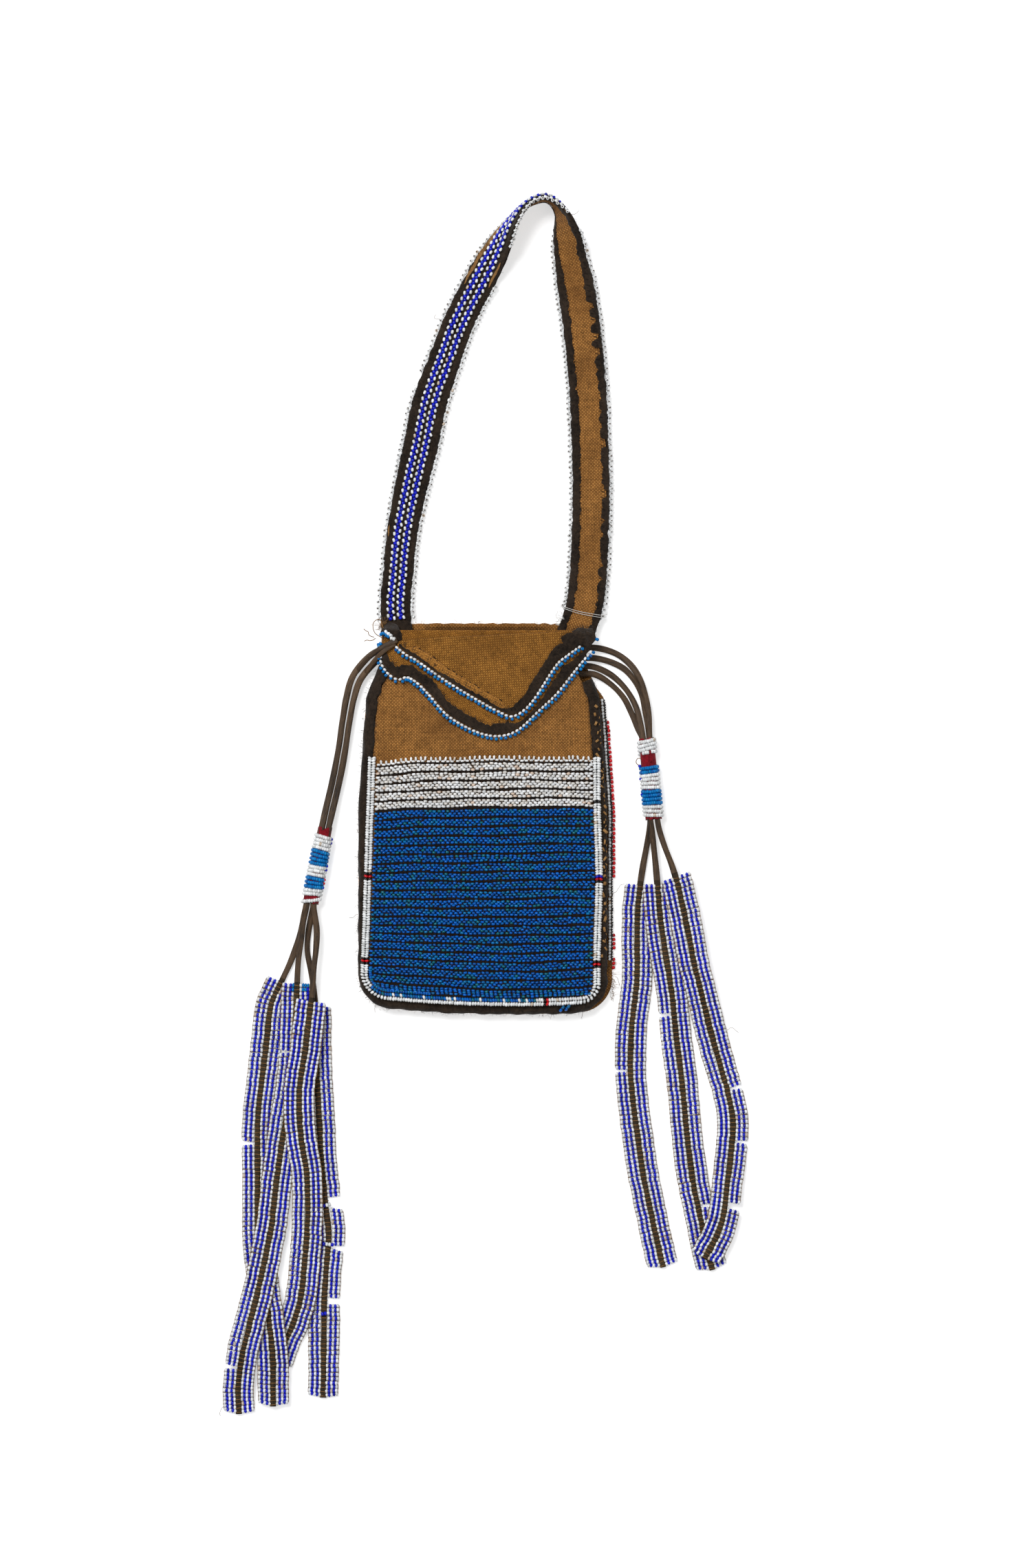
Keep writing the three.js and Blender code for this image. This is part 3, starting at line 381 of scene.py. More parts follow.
def grey(tree, level):
    shade = node(tree, "CombineColor")
    wire(tree, *((level, shade.inputs[k]) for k in range(3)))
    return shade.outputs[0]


def newGroup(name, inputs, outputs):
    group = bpy.data.node_groups.new(name, "ShaderNodeTree")
    for label, kind, value in inputs:
        socket = group.interface.new_socket(label, in_out="INPUT", socket_type="NodeSocket" + kind)
        if value is not None:
            socket.default_value = value
    for label, kind in outputs:
        group.interface.new_socket(label, in_out="OUTPUT", socket_type="NodeSocket" + kind)
    return group, group.nodes.new("NodeGroupInput").outputs, group.nodes.new("NodeGroupOutput").inputs


# plain weave on the cut's own coordinates: threads over and under, slubs and uneven dye, and painted shade that darkens
# the colour where the threads dip low
def weaveGroup():
    tree, given, result = newGroup(
        "plainWeave",
        [("Vector", "Vector", None), ("Threads", "Float", 1000.0), ("Warp", "Color", None), ("Weft", "Color", None),
         ("Slub", "Float", 0.5)],
        [("Color", "Color"), ("Height", "Float")])
    scaled = node(tree, "VectorMath", operation="SCALE")
    wire(tree, (given["Vector"], scaled.inputs[0]), (given["Threads"], scaled.inputs["Scale"]))
    wander = node(tree, "TexNoise", {"Scale": 0.11, "Detail": 3.0})
    wire(tree, (scaled.outputs[0], wander.inputs["Vector"]))
    shift = node(tree, "VectorMath", {1: (0.9, 0.9, 0.9)}, operation="MULTIPLY")
    wire(tree, (wander.outputs["Color"], shift.inputs[0]))
    bent = node(tree, "VectorMath", operation="ADD")
    wire(tree, (scaled.outputs[0], bent.inputs[0]), (shift.outputs[0], bent.inputs[1]))
    parts = node(tree, "SeparateXYZ")
    wire(tree, (bent.outputs[0], parts.inputs[0]))
    warpWave = mathNode(tree, "SINE", mathNode(tree, "MULTIPLY", parts.outputs[0], math.pi))
    weftWave = mathNode(tree, "SINE", mathNode(tree, "MULTIPLY", parts.outputs[1], math.pi))
    crossing = mathNode(tree, "MULTIPLY", warpWave, weftWave)
    over = mathNode(tree, "ADD", mathNode(tree, "MULTIPLY", crossing, 2.0), 0.5, clamp=True)
    warpUp = mathNode(tree, "ABSOLUTE", warpWave)
    weftUp = mathNode(tree, "ABSOLUTE", weftWave)
    high = mathNode(tree, "MULTIPLY", warpUp, over)
    low = mathNode(tree, "MULTIPLY", weftUp, mathNode(tree, "SUBTRACT", 1.0, over))
    height = mathNode(tree, "ADD", high, low)
    streaks = []
    for stretch in ((0.9, 0.22, 1), (0.16, 0.9, 1)):
        pulled = node(tree, "VectorMath", {1: stretch}, operation="MULTIPLY")
        noise = node(tree, "TexNoise", {"Scale": 1.0, "Detail": 2.0})
        wire(tree, (bent.outputs[0], pulled.inputs[0]), (pulled.outputs[0], noise.inputs["Vector"]))
        streaks.append(noise.outputs["Fac"])
    slub = mathNode(tree, "SUBTRACT", mathNode(tree, "ADD", *streaks), 1.0)
    light = mathNode(tree, "ADD", mathNode(tree, "MULTIPLY", slub, given["Slub"]), 0.36)
    # painted shade: the weave's colour is darkened where it lies low and lightened where threads cross high, added to
    # the slubs' unevenness
    lit = mathNode(tree, "MAXIMUM", mathNode(tree, "ADD", light, mathNode(tree, "MULTIPLY", height, 0.85)), 0.12)
    colour = mixColour(tree, over, given["Weft"], given["Warp"])
    wire(tree, (mixColour(tree, 1.0, colour, grey(tree, lit), "MULTIPLY"), result["Color"]))
    wire(tree, (height, result["Height"]))
    return tree


# felted fibres for wool and leather: fine streaks and a broad unevenness
def fibreGroup():
    tree, given, result = newGroup(
        "fibres",
        [("Vector", "Vector", None), ("Scale", "Float", 900.0), ("Dark", "Color", None), ("Light", "Color", None)],
        [("Color", "Color"), ("Height", "Float")])
    fine = node(tree, "TexNoise", {"Detail": 4.0, "Roughness": 0.65, "Distortion": 0.8})
    broad = node(tree, "TexNoise", {"Detail": 3.0})
    wire(tree, (given["Vector"], fine.inputs["Vector"]), (given["Scale"], fine.inputs["Scale"]),
         (given["Vector"], broad.inputs["Vector"]),
         (mathNode(tree, "MULTIPLY", given["Scale"], 0.12), broad.inputs["Scale"]))
    blend = mathNode(tree, "ADD", mathNode(tree, "MULTIPLY", fine.outputs["Fac"], 0.7),
                     mathNode(tree, "MULTIPLY", broad.outputs["Fac"], 0.5))
    spread = node(tree, "MapRange", {"From Min": 0.42, "From Max": 0.8})
    wire(tree, (blend, spread.inputs["Value"]))
    wire(tree, (mixColour(tree, spread.outputs[0], given["Dark"], given["Light"]), result["Color"]),
         (fine.outputs["Fac"], result["Height"]))
    return tree


# age on cloth: soft stains that darken, and their mask
def ageGroup():
    tree, given, result = newGroup(
        "ageStains",
        [("Vector", "Vector", None), ("Scale", "Float", 40.0), ("Amount", "Float", 0.4), ("Clean", "Color", None),
         ("Stain", "Color", None)],
        [("Color", "Color"), ("Mask", "Float")])
    noise = node(tree, "TexNoise", {"Detail": 5.0, "Roughness": 0.6})
    wire(tree, (given["Vector"], noise.inputs["Vector"]), (given["Scale"], noise.inputs["Scale"]))
    spread = node(tree, "MapRange", {"From Min": 0.45, "From Max": 0.75})
    wire(tree, (noise.outputs["Fac"], spread.inputs["Value"]))
    mask = mathNode(tree, "MULTIPLY", spread.outputs[0], given["Amount"])
    wire(tree, (mixColour(tree, mask, given["Clean"], given["Stain"]), result["Color"]), (mask, result["Mask"]))
    return tree


# bead colours: most beads near the main colour, some second, a few odd
def toneGroup():
    tree, given, result = newGroup(
        "beadTones",
        [("Main", "Color", None), ("Second", "Color", None), ("Odd", "Color", None), ("Second From", "Float", 0.6),
         ("Odd From", "Float", 0.92), ("Spread", "Float", 0.3)],
        [("Color", "Color")])
    tone = node(tree, "Attribute", attribute_name="tone").outputs["Fac"]
    second = mathNode(tree, "MULTIPLY", mathNode(tree, "SUBTRACT", tone, given["Second From"]), 4.0, clamp=True)
    odd = mathNode(tree, "GREATER_THAN", tone, given["Odd From"])
    base = mixColour(tree, second, given["Main"], given["Second"])
    wobble = mathNode(tree, "FRACT", mathNode(tree, "MULTIPLY", tone, 37.0))
    lit = mathNode(tree, "ADD", mathNode(tree, "MULTIPLY", wobble, given["Spread"]),
                   mathNode(tree, "SUBTRACT", 1.12, given["Spread"]))
    varied = mixColour(tree, 1.0, base, grey(tree, lit), "MULTIPLY")
    wire(tree, (mixColour(tree, odd, varied, given["Odd"]), result["Color"]))
    return tree


groups = dict(weave=weaveGroup(), fibre=fibreGroup(), age=ageGroup(), tone=toneGroup())


def placeGroup(tree, which, values):
    return node(tree, "Group", values, node_tree=groups[which])


def bump(tree, shader, height, distance, strength=1.0):
    made = node(tree, "Bump", {"Distance": distance, "Strength": strength})
    wire(tree, (height, made.inputs["Height"]), (made.outputs["Normal"], shader.inputs["Normal"]))


clothLook = dict(roughness=0.95, specular=0.1, sheen=0.08, threads=1340, slub=0.9, stainScale=60.0, depth=0.0003,
                 strength=0.8)
beadLook = dict(roughness=0.16, glass=1.52)


def clothFinish(name, warp, weft, stain, turn=0.0, stainAmount=0.55):
    mat, tree, shader = newMaterial(name, clothLook["roughness"], clothLook["specular"])
    coords = node(tree, "TexCoord")
    turned = node(tree, "Mapping", {"Rotation": (0, 0, turn)})
    wire(tree, (coords.outputs["UV"], turned.inputs["Vector"]))
    weave = placeGroup(tree, "weave", {"Threads": clothLook["threads"], "Warp": srgb(*warp), "Weft": srgb(*weft),
                                       "Slub": clothLook["slub"]})
    age = placeGroup(tree, "age", {"Scale": clothLook["stainScale"], "Amount": stainAmount, "Stain": srgb(*stain)})
    wire(tree, (turned.outputs[0], weave.inputs["Vector"]), (coords.outputs["Object"], age.inputs["Vector"]),
         (weave.outputs["Color"], age.inputs["Clean"]), (age.outputs["Color"], shader.inputs["Base Color"]))
    bump(tree, shader, weave.outputs["Height"], clothLook["depth"], clothLook["strength"])
    shader.inputs["Sheen Weight"].default_value = clothLook["sheen"]
    return mat


def fibreFinish(name, dark, light, scale, roughness=1.0, depth=0.0005, sheen=0.15, specular=0.1, grain=None):
    mat, tree, shader = newMaterial(name, roughness, specular)
    coords = node(tree, "TexCoord")
    fibre = placeGroup(tree, "fibre", {"Scale": scale, "Dark": srgb(*dark), "Light": srgb(*light)})
    place = coords.outputs["Object"]
    if grain:  # drawn out along the cut's own length
        drawn = node(tree, "Mapping", {"Scale": (1, grain, 1)})
        wire(tree, (coords.outputs["UV"], drawn.inputs["Vector"]))
        place = drawn.outputs[0]
    wire(tree, (place, fibre.inputs["Vector"]), (fibre.outputs["Color"], shader.inputs["Base Color"]))
    bump(tree, shader, fibre.outputs["Height"], depth)
    shader.inputs["Sheen Weight"].default_value = sheen
    return mat


def threadFinish(name, dark, light):
    return fibreFinish(name, dark, light, 1500, depth=0.0001)


def beadFinish(name, main, second, odd, secondFrom=0.6, oddFrom=0.92, shine=0.4, spread=0.3):
    mat, tree, shader = newMaterial(name, beadLook["roughness"], shine)
    tones = placeGroup(tree, "tone", {"Main": srgb(*main), "Second": srgb(*second), "Odd": srgb(*odd),
                                      "Second From": secondFrom, "Odd From": oddFrom, "Spread": spread})
    wire(tree, (tones.outputs["Color"], shader.inputs["Base Color"]))
    shader.inputs["IOR"].default_value = beadLook["glass"]
    return mat


brownCloth = clothFinish("brownCloth", (178, 126, 67), (140, 92, 43), (92, 57, 25))
goldenCloth = clothFinish("goldenCloth", (170, 118, 52), (134, 87, 34), (88, 54, 19), turn=0.7)
underCloth = clothFinish("underFlapCloth", (164, 112, 46), (142, 92, 36), (92, 56, 20), turn=0.62)
hemCloth = clothFinish("goldenHem", (188, 131, 62), (162, 108, 47), (120, 75, 31), turn=0.7, stainAmount=0.3)
blackWool = fibreFinish("blackWool", (20, 16, 13), (62, 50, 40), 800)
redWool = fibreFinish("redWool", (78, 8, 18), (170, 30, 44), 900)
leather = fibreFinish("darkLeather", (28, 20, 13), (104, 80, 56), 1500, 0.6, 0.0003, 0.0, 0.35, 0.1)
# darker copy of the thong leather for its length inside the beaded strips: painted shade from the beads and threads
# around it
stripLeather = fibreFinish("stripLeather", (22, 17, 10), (76, 60, 37), 1500, 0.7, 0.0003, 0.0, 0.25, 0.2)
whiteBeads = beadFinish("whiteBeads", (242, 244, 245), (228, 229, 228), (206, 190, 172), 0.62, 0.975)
panelWhite = beadFinish("panelWhiteBeads", (240, 241, 242), (226, 222, 216), (222, 200, 182), 0.5, 0.95)
panelBlue = beadFinish("panelBlueBeads", (2, 98, 192), (6, 114, 172), (14, 104, 122), 0.55, 0.94, 0.3, 0.55)
edgeBlue = beadFinish("edgeBlueBeads", (6, 116, 190), (14, 132, 200), (10, 92, 170), 0.6, 0.95, 0.2)
cobaltBeads = beadFinish("cobaltBeads", (14, 26, 200), (24, 42, 206), (12, 18, 150), 0.6, 0.92, 0.3, 0.4)
redBeads = beadFinish("redBeads", (216, 18, 30), (196, 14, 26), (230, 40, 46))
blackBeads = beadFinish("blackBeads", (22, 20, 20), (30, 28, 28), (16, 16, 18))
darkThread = threadFinish("darkThread", (14, 10, 8), (42, 29, 21))
rowThread = threadFinish("rowThread", (60, 40, 24), (116, 84, 54))
stripThread = threadFinish("stripThread", (84, 62, 42), (150, 122, 90))
brownThread = threadFinish("brownThread", (96, 66, 36), (168, 126, 78))
tanThread = threadFinish("tanThread", (120, 84, 44), (190, 146, 92))
paleThread = threadFinish("paleThread", (196, 192, 186), (240, 238, 234))
print("finishes made")

# leather thongs: routes from inside the pouch to the far ends, as in the CAD
thongs = dict(width=2.8, thickness=1.8, step=1.6, sides=12, boxy=0.7)
# the left thongs leave the pouch in two pairs, each with one thong on the other: places, and the lower one's heights
pairHeights = (2.5, 2.5, 2.5, 1.4, 1.05, 1.05, 1.05, 1.05, 1.05, 1.45, 2.85, 2.9, 2.9)
pairLift = 2.1
outerPair = [
    (-35.1, 75), (-40.4, 76.6), (-47, 76.8), (-53.3, 72.7), (-59.2, 65.1), (-62.2, 55.4), (-63.8, 45.9), (-65.6, 33.4),
    (-67.8, 20.9), (-70.6, 8.5), (-73.4, -4.1), (-76.7, -20.9), (-80.2, -38.8),
]
innerPair = [
    (-36.1, 71.9), (-40.9, 73.4), (-46, 73.4), (-50.6, 69.9), (-55.9, 63.2), (-58.8, 54.5), (-60.6, 45.4),
    (-62.5, 32.9), (-64.7, 20.3), (-67.5, 7.8), (-70.3, -4.7), (-73.6, -21.6), (-77.1, -39.4),
]


def fromPouch(places, lift):
    return [(x, y, z + lift) for (x, y), z in zip(places, pairHeights)]


routes = {
    "left_thong_1": fromPouch(outerPair, 0) + [
        (-81.6, -45, 1.6), (-83.8, -54.4, 1.05), (-87.5, -64.7, 1.05), (-91.2, -72.8, 1.05),
        (-96.2, -83.8, 1.05), (-98.4, -99.7, 1.05), (-100.9, -119.7, 1.05), (-102.5, -137.2, 1.05),
        (-102.8, -153.1, 1.05), (-102.8, -176.9, 1.05), (-102.5, -190.3, 1.05), (-101.2, -204.4, 1.28),
        (-99.4, -215.9, 2.89), (-97.8, -224.7, 4.96), (-96.6, -233.1, 5.07), (-95.6, -244.1, 4.04),
        (-95.6, -255.9, 3.46), (-95.6, -267.5, 3.35),
    ],
    "left_thong_2": fromPouch(outerPair, pairLift) + [
        (-81.6, -45, 4.3), (-82.8, -54.4, 3.7), (-84.1, -65.3, 3.35), (-84.7, -77.8, 3.35), (-85, -91.6, 3.35),
        (-86.2, -109.1, 3.35), (-87.8, -124.7, 3.35), (-90, -138.8, 3.35), (-92.8, -155.9, 3.35),
        (-94.7, -170, 3.35), (-96.2, -186.2, 3.35), (-98.8, -198.8, 3.58), (-101.6, -210.9, 4.84),
        (-104.1, -221.6, 7.03), (-106.2, -230.9, 7.49), (-108.8, -240.9, 6.68), (-110.3, -249.1, 4.5),
        (-111.6, -258.4, 2.43), (-111.2, -271.2, 1.28),
    ],
    "left_thong_3": fromPouch(innerPair, pairLift) + [
        (-76.6, -43.4, 4.9), (-75.6, -50.3, 5.1), (-75.9, -59.1, 5.4), (-76.9, -68.4, 5.65),
        (-77.8, -80.9, 5.65), (-79.4, -93.4, 5.65), (-81.2, -106.6, 5.65), (-83.1, -120, 5.65),
        (-83.4, -131.6, 5.65), (-82.5, -146.6, 5.65), (-80.3, -160.3, 5.65), (-79.7, -170, 4.73),
        (-79.7, -179.4, 3.69), (-80.3, -191.9, 3.46), (-81.6, -204.7, 3.46), (-82.5, -215.3, 3.46),
        (-84.4, -224.1, 3.4), (-87.5, -232.8, 1.51), (-90.9, -240, 1.05), (-94.4, -249.7, 1.05),
    ],
    "left_thong_4": fromPouch(innerPair, 0) + [
        (-78.1, -44.1, 2.3), (-79.7, -52.8, 1.2), (-80, -60.6, 1.05), (-78.4, -69.1, 1.05),
        (-76.9, -79.4, 1.05), (-76.2, -93.4, 1.05), (-75.9, -105.9, 1.05), (-75.6, -118.4, 1.05),
        (-74.7, -137.2, 1.05), (-73.1, -160.9, 1.05), (-71.6, -176.9, 1.05), (-70.3, -189.4, 1.05),
        (-71.2, -201.6, 1.05), (-72.2, -215.9, 1.05), (-72.5, -235, 1.05), (-72.8, -263.8, 1.05),
    ],
    "right_thong_1": [
        (42.5, 77.2, 2.4), (48.8, 78.1, 2.4), (55.6, 77.2, 1.4), (61.9, 74.7, 1.05), (67.5, 70, 2.2),
        (71.7, 63.4, 3.3), (74.1, 55.9, 3.45), (75.6, 46.9, 3.9), (75.9, 36.6, 4.95), (77.7, 18.4, 5),
        (79.4, 0, 5), (80.3, -5, 5.1), (82.8, -12.8, 5.4), (85.9, -20.9, 5.65), (88.4, -29.1, 5.65),
        (90.9, -40.3, 5.65), (94.4, -56.6, 5.65), (96.2, -65.9, 5.65), (98.4, -75.3, 5.42), (100.9, -85.9, 3.81),
        (104.4, -99.1, 1.97), (108.1, -111.6, 1.05), (111.6, -124.7, 1.05), (113.8, -137.5, 1.05),
        (113.4, -149.7, 1.28), (112.2, -160.6, 2.43), (110.9, -169.4, 3.58), (109.7, -178.8, 3.69),
        (107.8, -186.2, 3.69), (105, -192.8, 3.69), (100.9, -200.3, 3.69),
    ],
    "right_thong_2": [
        (42.5, 73.1, 2.4), (49.4, 73.4, 2.4), (57.2, 71.9, 1.2), (64.4, 68.4, 1.05), (69.1, 63.1, 1.05),
        (72.5, 56.2, 1.05), (74.1, 48.4, 1.3), (75.3, 41.6, 2.2), (75.9, 36.6, 2.85), (77.5, 20.3, 2.9),
    ],
    "right_thong_3": [
        (42.5, 69.7, 2.4), (50, 69.4, 2.4), (58.1, 65.9, 1.2), (65, 59.4, 1.05), (69.4, 51.9, 1.8),
        (71.6, 44.1, 3.75), (72.8, 36.6, 4.95), (74.5, 18.4, 5), (76.2, 0, 5), (76.9, -5, 4.5),
        (77.8, -12.8, 3.7), (78.8, -22.2, 3.35), (79.7, -32.5, 3.35), (80.9, -45, 3.35), (82.8, -59.1, 3.35),
        (84.7, -70.9, 3.35), (86.6, -84.1, 2.2), (88.1, -98.1, 1.05), (90, -114.1, 1.05), (91.6, -129.4, 1.05),
        (93.8, -149.7, 1.05), (95.9, -166.6, 1.05), (98.8, -180.3, 1.05), (101.2, -191.9, 1.05), (104.7, -205.6, 1.05),
    ],
    "right_thong_4": [
        (42.5, 65.9, 2.4), (50.6, 65.9, 2.4), (58.1, 61.6, 1.2), (64.1, 55.3, 1.05), (67.8, 48.1, 1.05),
        (70.6, 41.2, 1.9), (72.8, 36.6, 2.85), (74.5, 18.4, 2.9), (76.2, 0, 2.9), (75.9, -5, 2.2),
        (74.7, -12.2, 1.2), (73.1, -20.9, 1.05), (71.6, -30.9, 1.05), (70.6, -43.4, 1.05), (70.3, -59.1, 1.05),
        (70, -74.7, 1.05), (68.4, -90.3, 1.05), (67.5, -102.8, 1.05), (67.2, -115.3, 1.05), (68.4, -128.8, 1.05),
        (70.9, -146.2, 1.05), (72.8, -160.9, 1.05), (75.6, -175.3, 1.05), (79.1, -190.3, 1.05), (82.2, -204.4, 1.05),
    ],
}
# length of the beaded strip on each thong; one thong ends in its sleeve
stripLengths = dict(
    left_thong_1=197, left_thong_2=200, left_thong_3=171, left_thong_4=180,
    right_thong_1=182, right_thong_2=0, right_thong_3=179, right_thong_4=177)
stripBeads = dict(columns=5, band=5.6, inner=1.2, rowPitch=1.98, beadRadius=1.04, beadLength=1.13, endLean=0.24,
                  footGap=0.8, breakReach=8.0, rim=0.08, linkMost=1.3)
stripThreads = dict(row=0.3, bed=0.42, bedDrop=0.4, edge=0.13, tie=0.2, tieOut=0.3, tieEnd=0.3, tieRise=0.08,
                    tieSpan=0.7)
crossBeads = dict(pitch=1.3, length=1.2, radius=0.95)
# breaks in the bands: side (1 left in the picture, -1 right), place along the strip in mm, rows lost,
# and how far the rows then stand apart at the thong and at the edge
breaks = {
    "left_strip_1": [(1, 75, 0, 0.6, 1.9)],
    "left_strip_2": [(1, 31, 0, 0.1, 1.5), (1, 177, 0, 0.9, 2.5)],
    "left_strip_4": [(-1, 88, 2, 0.6, 1.2), (-1, 107, 0, 1.0, 2.8), (-1, 132, 1, 1.0, 1.6), (1, 92, 1, 0.5, 1.0)],
    "right_strip_4": [(1, 84, 0, 0.5, 1.2)],
    "right_strip_3": [(1, 59, 0, 0.9, 1.6), (-1, 148, 0, 0.6, 1.6)],
    "right_strip_1": [(-1, 100, 0, 0.6, 1.4), (-1, 124, 0, 0.5, 1.3), (-1, 152, 1, 0.3, 1.0)],
}
# lengths of a band that hang loose: side, from, to, how far they lie out, and their lean
adrift = {"left_strip_4": [(-1, 88, 107, 0.4, 0.14), (-1, 107, 132, 0.2, 0.1)]}
# rows that still hang across the thong at a break: place and beads
crossRows = {"left_strip_4": [(89.5, "wwbb"), (107, "bwwb"), (139, "wbbw")]}
# light-blue beads at the head of one strip: side, row and column
oddBeads = {"left_strip_2": [(-1, 0, 1), (-1, 0, 2), (-1, 0, 3), (-1, 1, 1), (-1, 1, 2), (1, 0, 0), (1, 1, 0)]}


# shape of a lace, with the leather's own coordinates on it and its run at every ring
def laceShape(path, run, half, wide, high, start):
    side, sides = rightOf(path), thongs["sides"]
    up = unit(np.cross(side, tangents(path)))
    verts, quads = sweep(path, side, up, wide, high, sides, thongs["boxy"])
    lay = np.concatenate([run[:1], run, run[-1:]])
    across = start + half * np.cos((np.arange(sides) + 0.5) * 2 * math.pi / sides)
    uv = np.stack(np.broadcast_arrays(across[None], lay[:, None]), -1).reshape(-1, 2)
    return verts, quads, uv, lay


def makeThong(name, route, sewn):
    length = lengthOf(smoothRoute(route, 400))
    path = smoothRoute(route, int(length / thongs["step"]) + 1)
    run = np.linspace(0, length, len(path))
    seed = sum(map(ord, name))
    worn = 1 + 0.06 * np.sin(run / 9.0 + seed) + 0.04 * np.sin(run / 3.1 + seed * 2)
    half, high = thongs["width"] / 2, thongs["thickness"] / 2
    verts, quads, uv, lay = laceShape(path, run, half, half * worn, high * (2 - worn), seed)
    # the part of the thong inside its beaded strip takes the darker leather, as painted shade
    inBeadShade = np.repeat(lay[:-1] > length - sewn - 1, thongs["sides"])
    mesh = meshOf(verts, quads, [leather, stripLeather], uv, slots=inBeadShade)
    return addPiece(name + "_lace", mesh, "leather", name), path, length


# rows lost from a band, and how far the others stand apart at the thong and at the edge
def bandBreaks(name, sign, down):
    lost, apart = np.zeros(len(down), bool), np.zeros((len(down), 2))
    for bandSide, place, gone, atThong, atEdge in breaks.get(name, []):
        if bandSide == sign:
            away = down - place
            lost |= np.abs(away) < gone * stripBeads["rowPitch"] / 2
            push = np.sign(away) * np.exp(-np.abs(away) / stripBeads["breakReach"]) / 2
            apart += push[:, None] * (atThong, atEdge)
    return lost, apart


def makeStrip(name, path, length):
    run = runOf(path)
    pitch, band, inner = stripBeads["rowPitch"], stripBeads["band"], stripBeads["inner"]
    rows = int(length / pitch)
    at = run[-1] - stripBeads["footGap"] - np.arange(rows)[::-1] * pitch
    down = at - at[0]
    r = np.random.default_rng(sum(map(ord, name)))
    middle = pick(at, run, path)
    side = unit(pick(at, run, rightOf(path)))  # to the left in the picture, as the strips run down it
    way = tangents(middle)
    lift = stripBeads["beadRadius"] - thongs["thickness"] / 2
    bag = BeadBag()
    ties, edges, beds = [], [], []
    for sign in (1, -1):
        lost, apart = bandBreaks(name, sign, down)
        tilt = 0.06 * np.sin(at / 17 + r.uniform(0, 6)) + 0.04 * np.sin(at / 6.5 + r.uniform(0, 6))
        tilt += r.normal(0, 0.012, rows) - stripBeads["endLean"] * np.exp((at - at[-1]) / 4)
        arc = 0.3 * np.sin(at / 29 + r.uniform(0, 6))
        sway = 0.2 * np.sin(at / 8 + r.uniform(0, 6)) + r.normal(0, 0.09, rows)
        for bandSide, first, last, out, lean in adrift.get(name, []):
            loose = (bandSide == sign) & (down > first) & (down < last)
            sway, tilt = sway + out * loose, tilt + lean * loose
        turn = tilt + (apart[:, 1] - apart[:, 0]) / band
        axis = side * np.cos(turn)[:, None] + way * (sign * np.sin(turn))[:, None]

        # where every row stands at a distance from the thong's middle
        def spots(out):
            part = (out - inner) / band
            bowed = arc * math.sin(math.pi * np.clip(part, 0, 1))
            step = np.sin(tilt) * out + bowed + apart @ (1 - part, part)
            return middle + side * (sign * (out + sway))[:, None] + way * step[:, None] + [0, 0, lift]

        for column in range(stripBeads["columns"]):
            slot = np.full(rows, column % 2)
            for oddSide, row, oddColumn in oddBeads.get(name, []):
                if (oddSide, oddColumn) == (sign, column):
                    slot[row] = 2
            centre = spots(inner + (column + 0.5) * band / stripBeads["columns"]) + r.normal(0, 0.04, (rows, 3))
            long = stripBeads["beadLength"] * r.uniform(0.93, 1.04, rows)
            wide = stripBeads["beadRadius"] * r.uniform(0.94, 1.03, rows)
            tone = r.random(rows)
            bag.add(*(values[~lost] for values in (centre, axis, long, wide, slot, tone)))
        rim, near = spots(inner + band + stripBeads["rim"]), spots(inner)
        low = np.array([0, 0, -stripThreads["bedDrop"]])
        for i in np.flatnonzero(~lost):
            beds.append(thread([near[i], rim[i]], stripThreads["row"]))
            if i + 1 == rows or lost[i + 1] or np.linalg.norm(rim[i + 1] - rim[i]) > stripBeads["linkMost"] * pitch:
                continue
            out = side[i] * sign * r.uniform(0.06, 0.22)
            between = (rim[i] + rim[i + 1]) / 2
            edges.append(thread([rim[i], between + out, rim[i + 1]], stripThreads["edge"]))
            beds.append(thread([(near[i] + near[i + 1]) / 2 + low, between + low], stripThreads["bed"]))
    top = thongs["thickness"] / 2
    for i in range(rows):
        lean = way[i] * r.normal(0, 0.2)
        reach = side[i] * (inner + stripThreads["tieOut"])
        rise = [0, 0, stripThreads["tieEnd"]]
        crest = middle[i] + [0, 0, top + stripThreads["tieRise"]]
        span = side[i] * (thongs["width"] / 2 * stripThreads["tieSpan"])
        ties.append(thread([middle[i] - reach - lean + rise, crest - span - lean * 0.5, crest + span + lean * 0.5,
                            middle[i] + reach + lean + rise], stripThreads["tie"]))
    for place, colours in crossRows.get(name, []):
        i = int(np.argmin(np.abs(down - place)))
        reach = (np.arange(len(colours)) - (len(colours) - 1) / 2)[:, None] * crossBeads["pitch"]
        slope = r.normal(0.15, 0.1)
        spot = middle[i] + side[i] * reach + way[i] * (reach * slope) + [0, 0, top + crossBeads["radius"]]
        bag.add(spot, side[i] + way[i] * slope, crossBeads["length"], crossBeads["radius"],
                [0 if c == "w" else 1 for c in colours])
    beads = addPiece(name + "_beads", bag.mesh(whiteBeads, cobaltBeads, edgeBlue), "cobalt_beads",
                     name + "_left_band", name + "_right_band")
    sewing = addShapes(name + "_sewing", ties + edges, brownThread, "leather")
    rowLines = addShapes(name + "_row_threads", beds, stripThread, "leather")
    return [beads, sewing, rowLines]


# sleeves: red wool tube and bead rows round it
sleeves = dict(bore=(3.35, 2.3), wool=0.3, seam=0.3, bead=0.9, floorGap=0.05, beadRadius=0.93, beadLength=1.2,
               beadsRound=22, seat=0.06, endLength=1.2, endRadius=0.78, endOut=0.3, endRise=1.1, sides=40, steps=30)
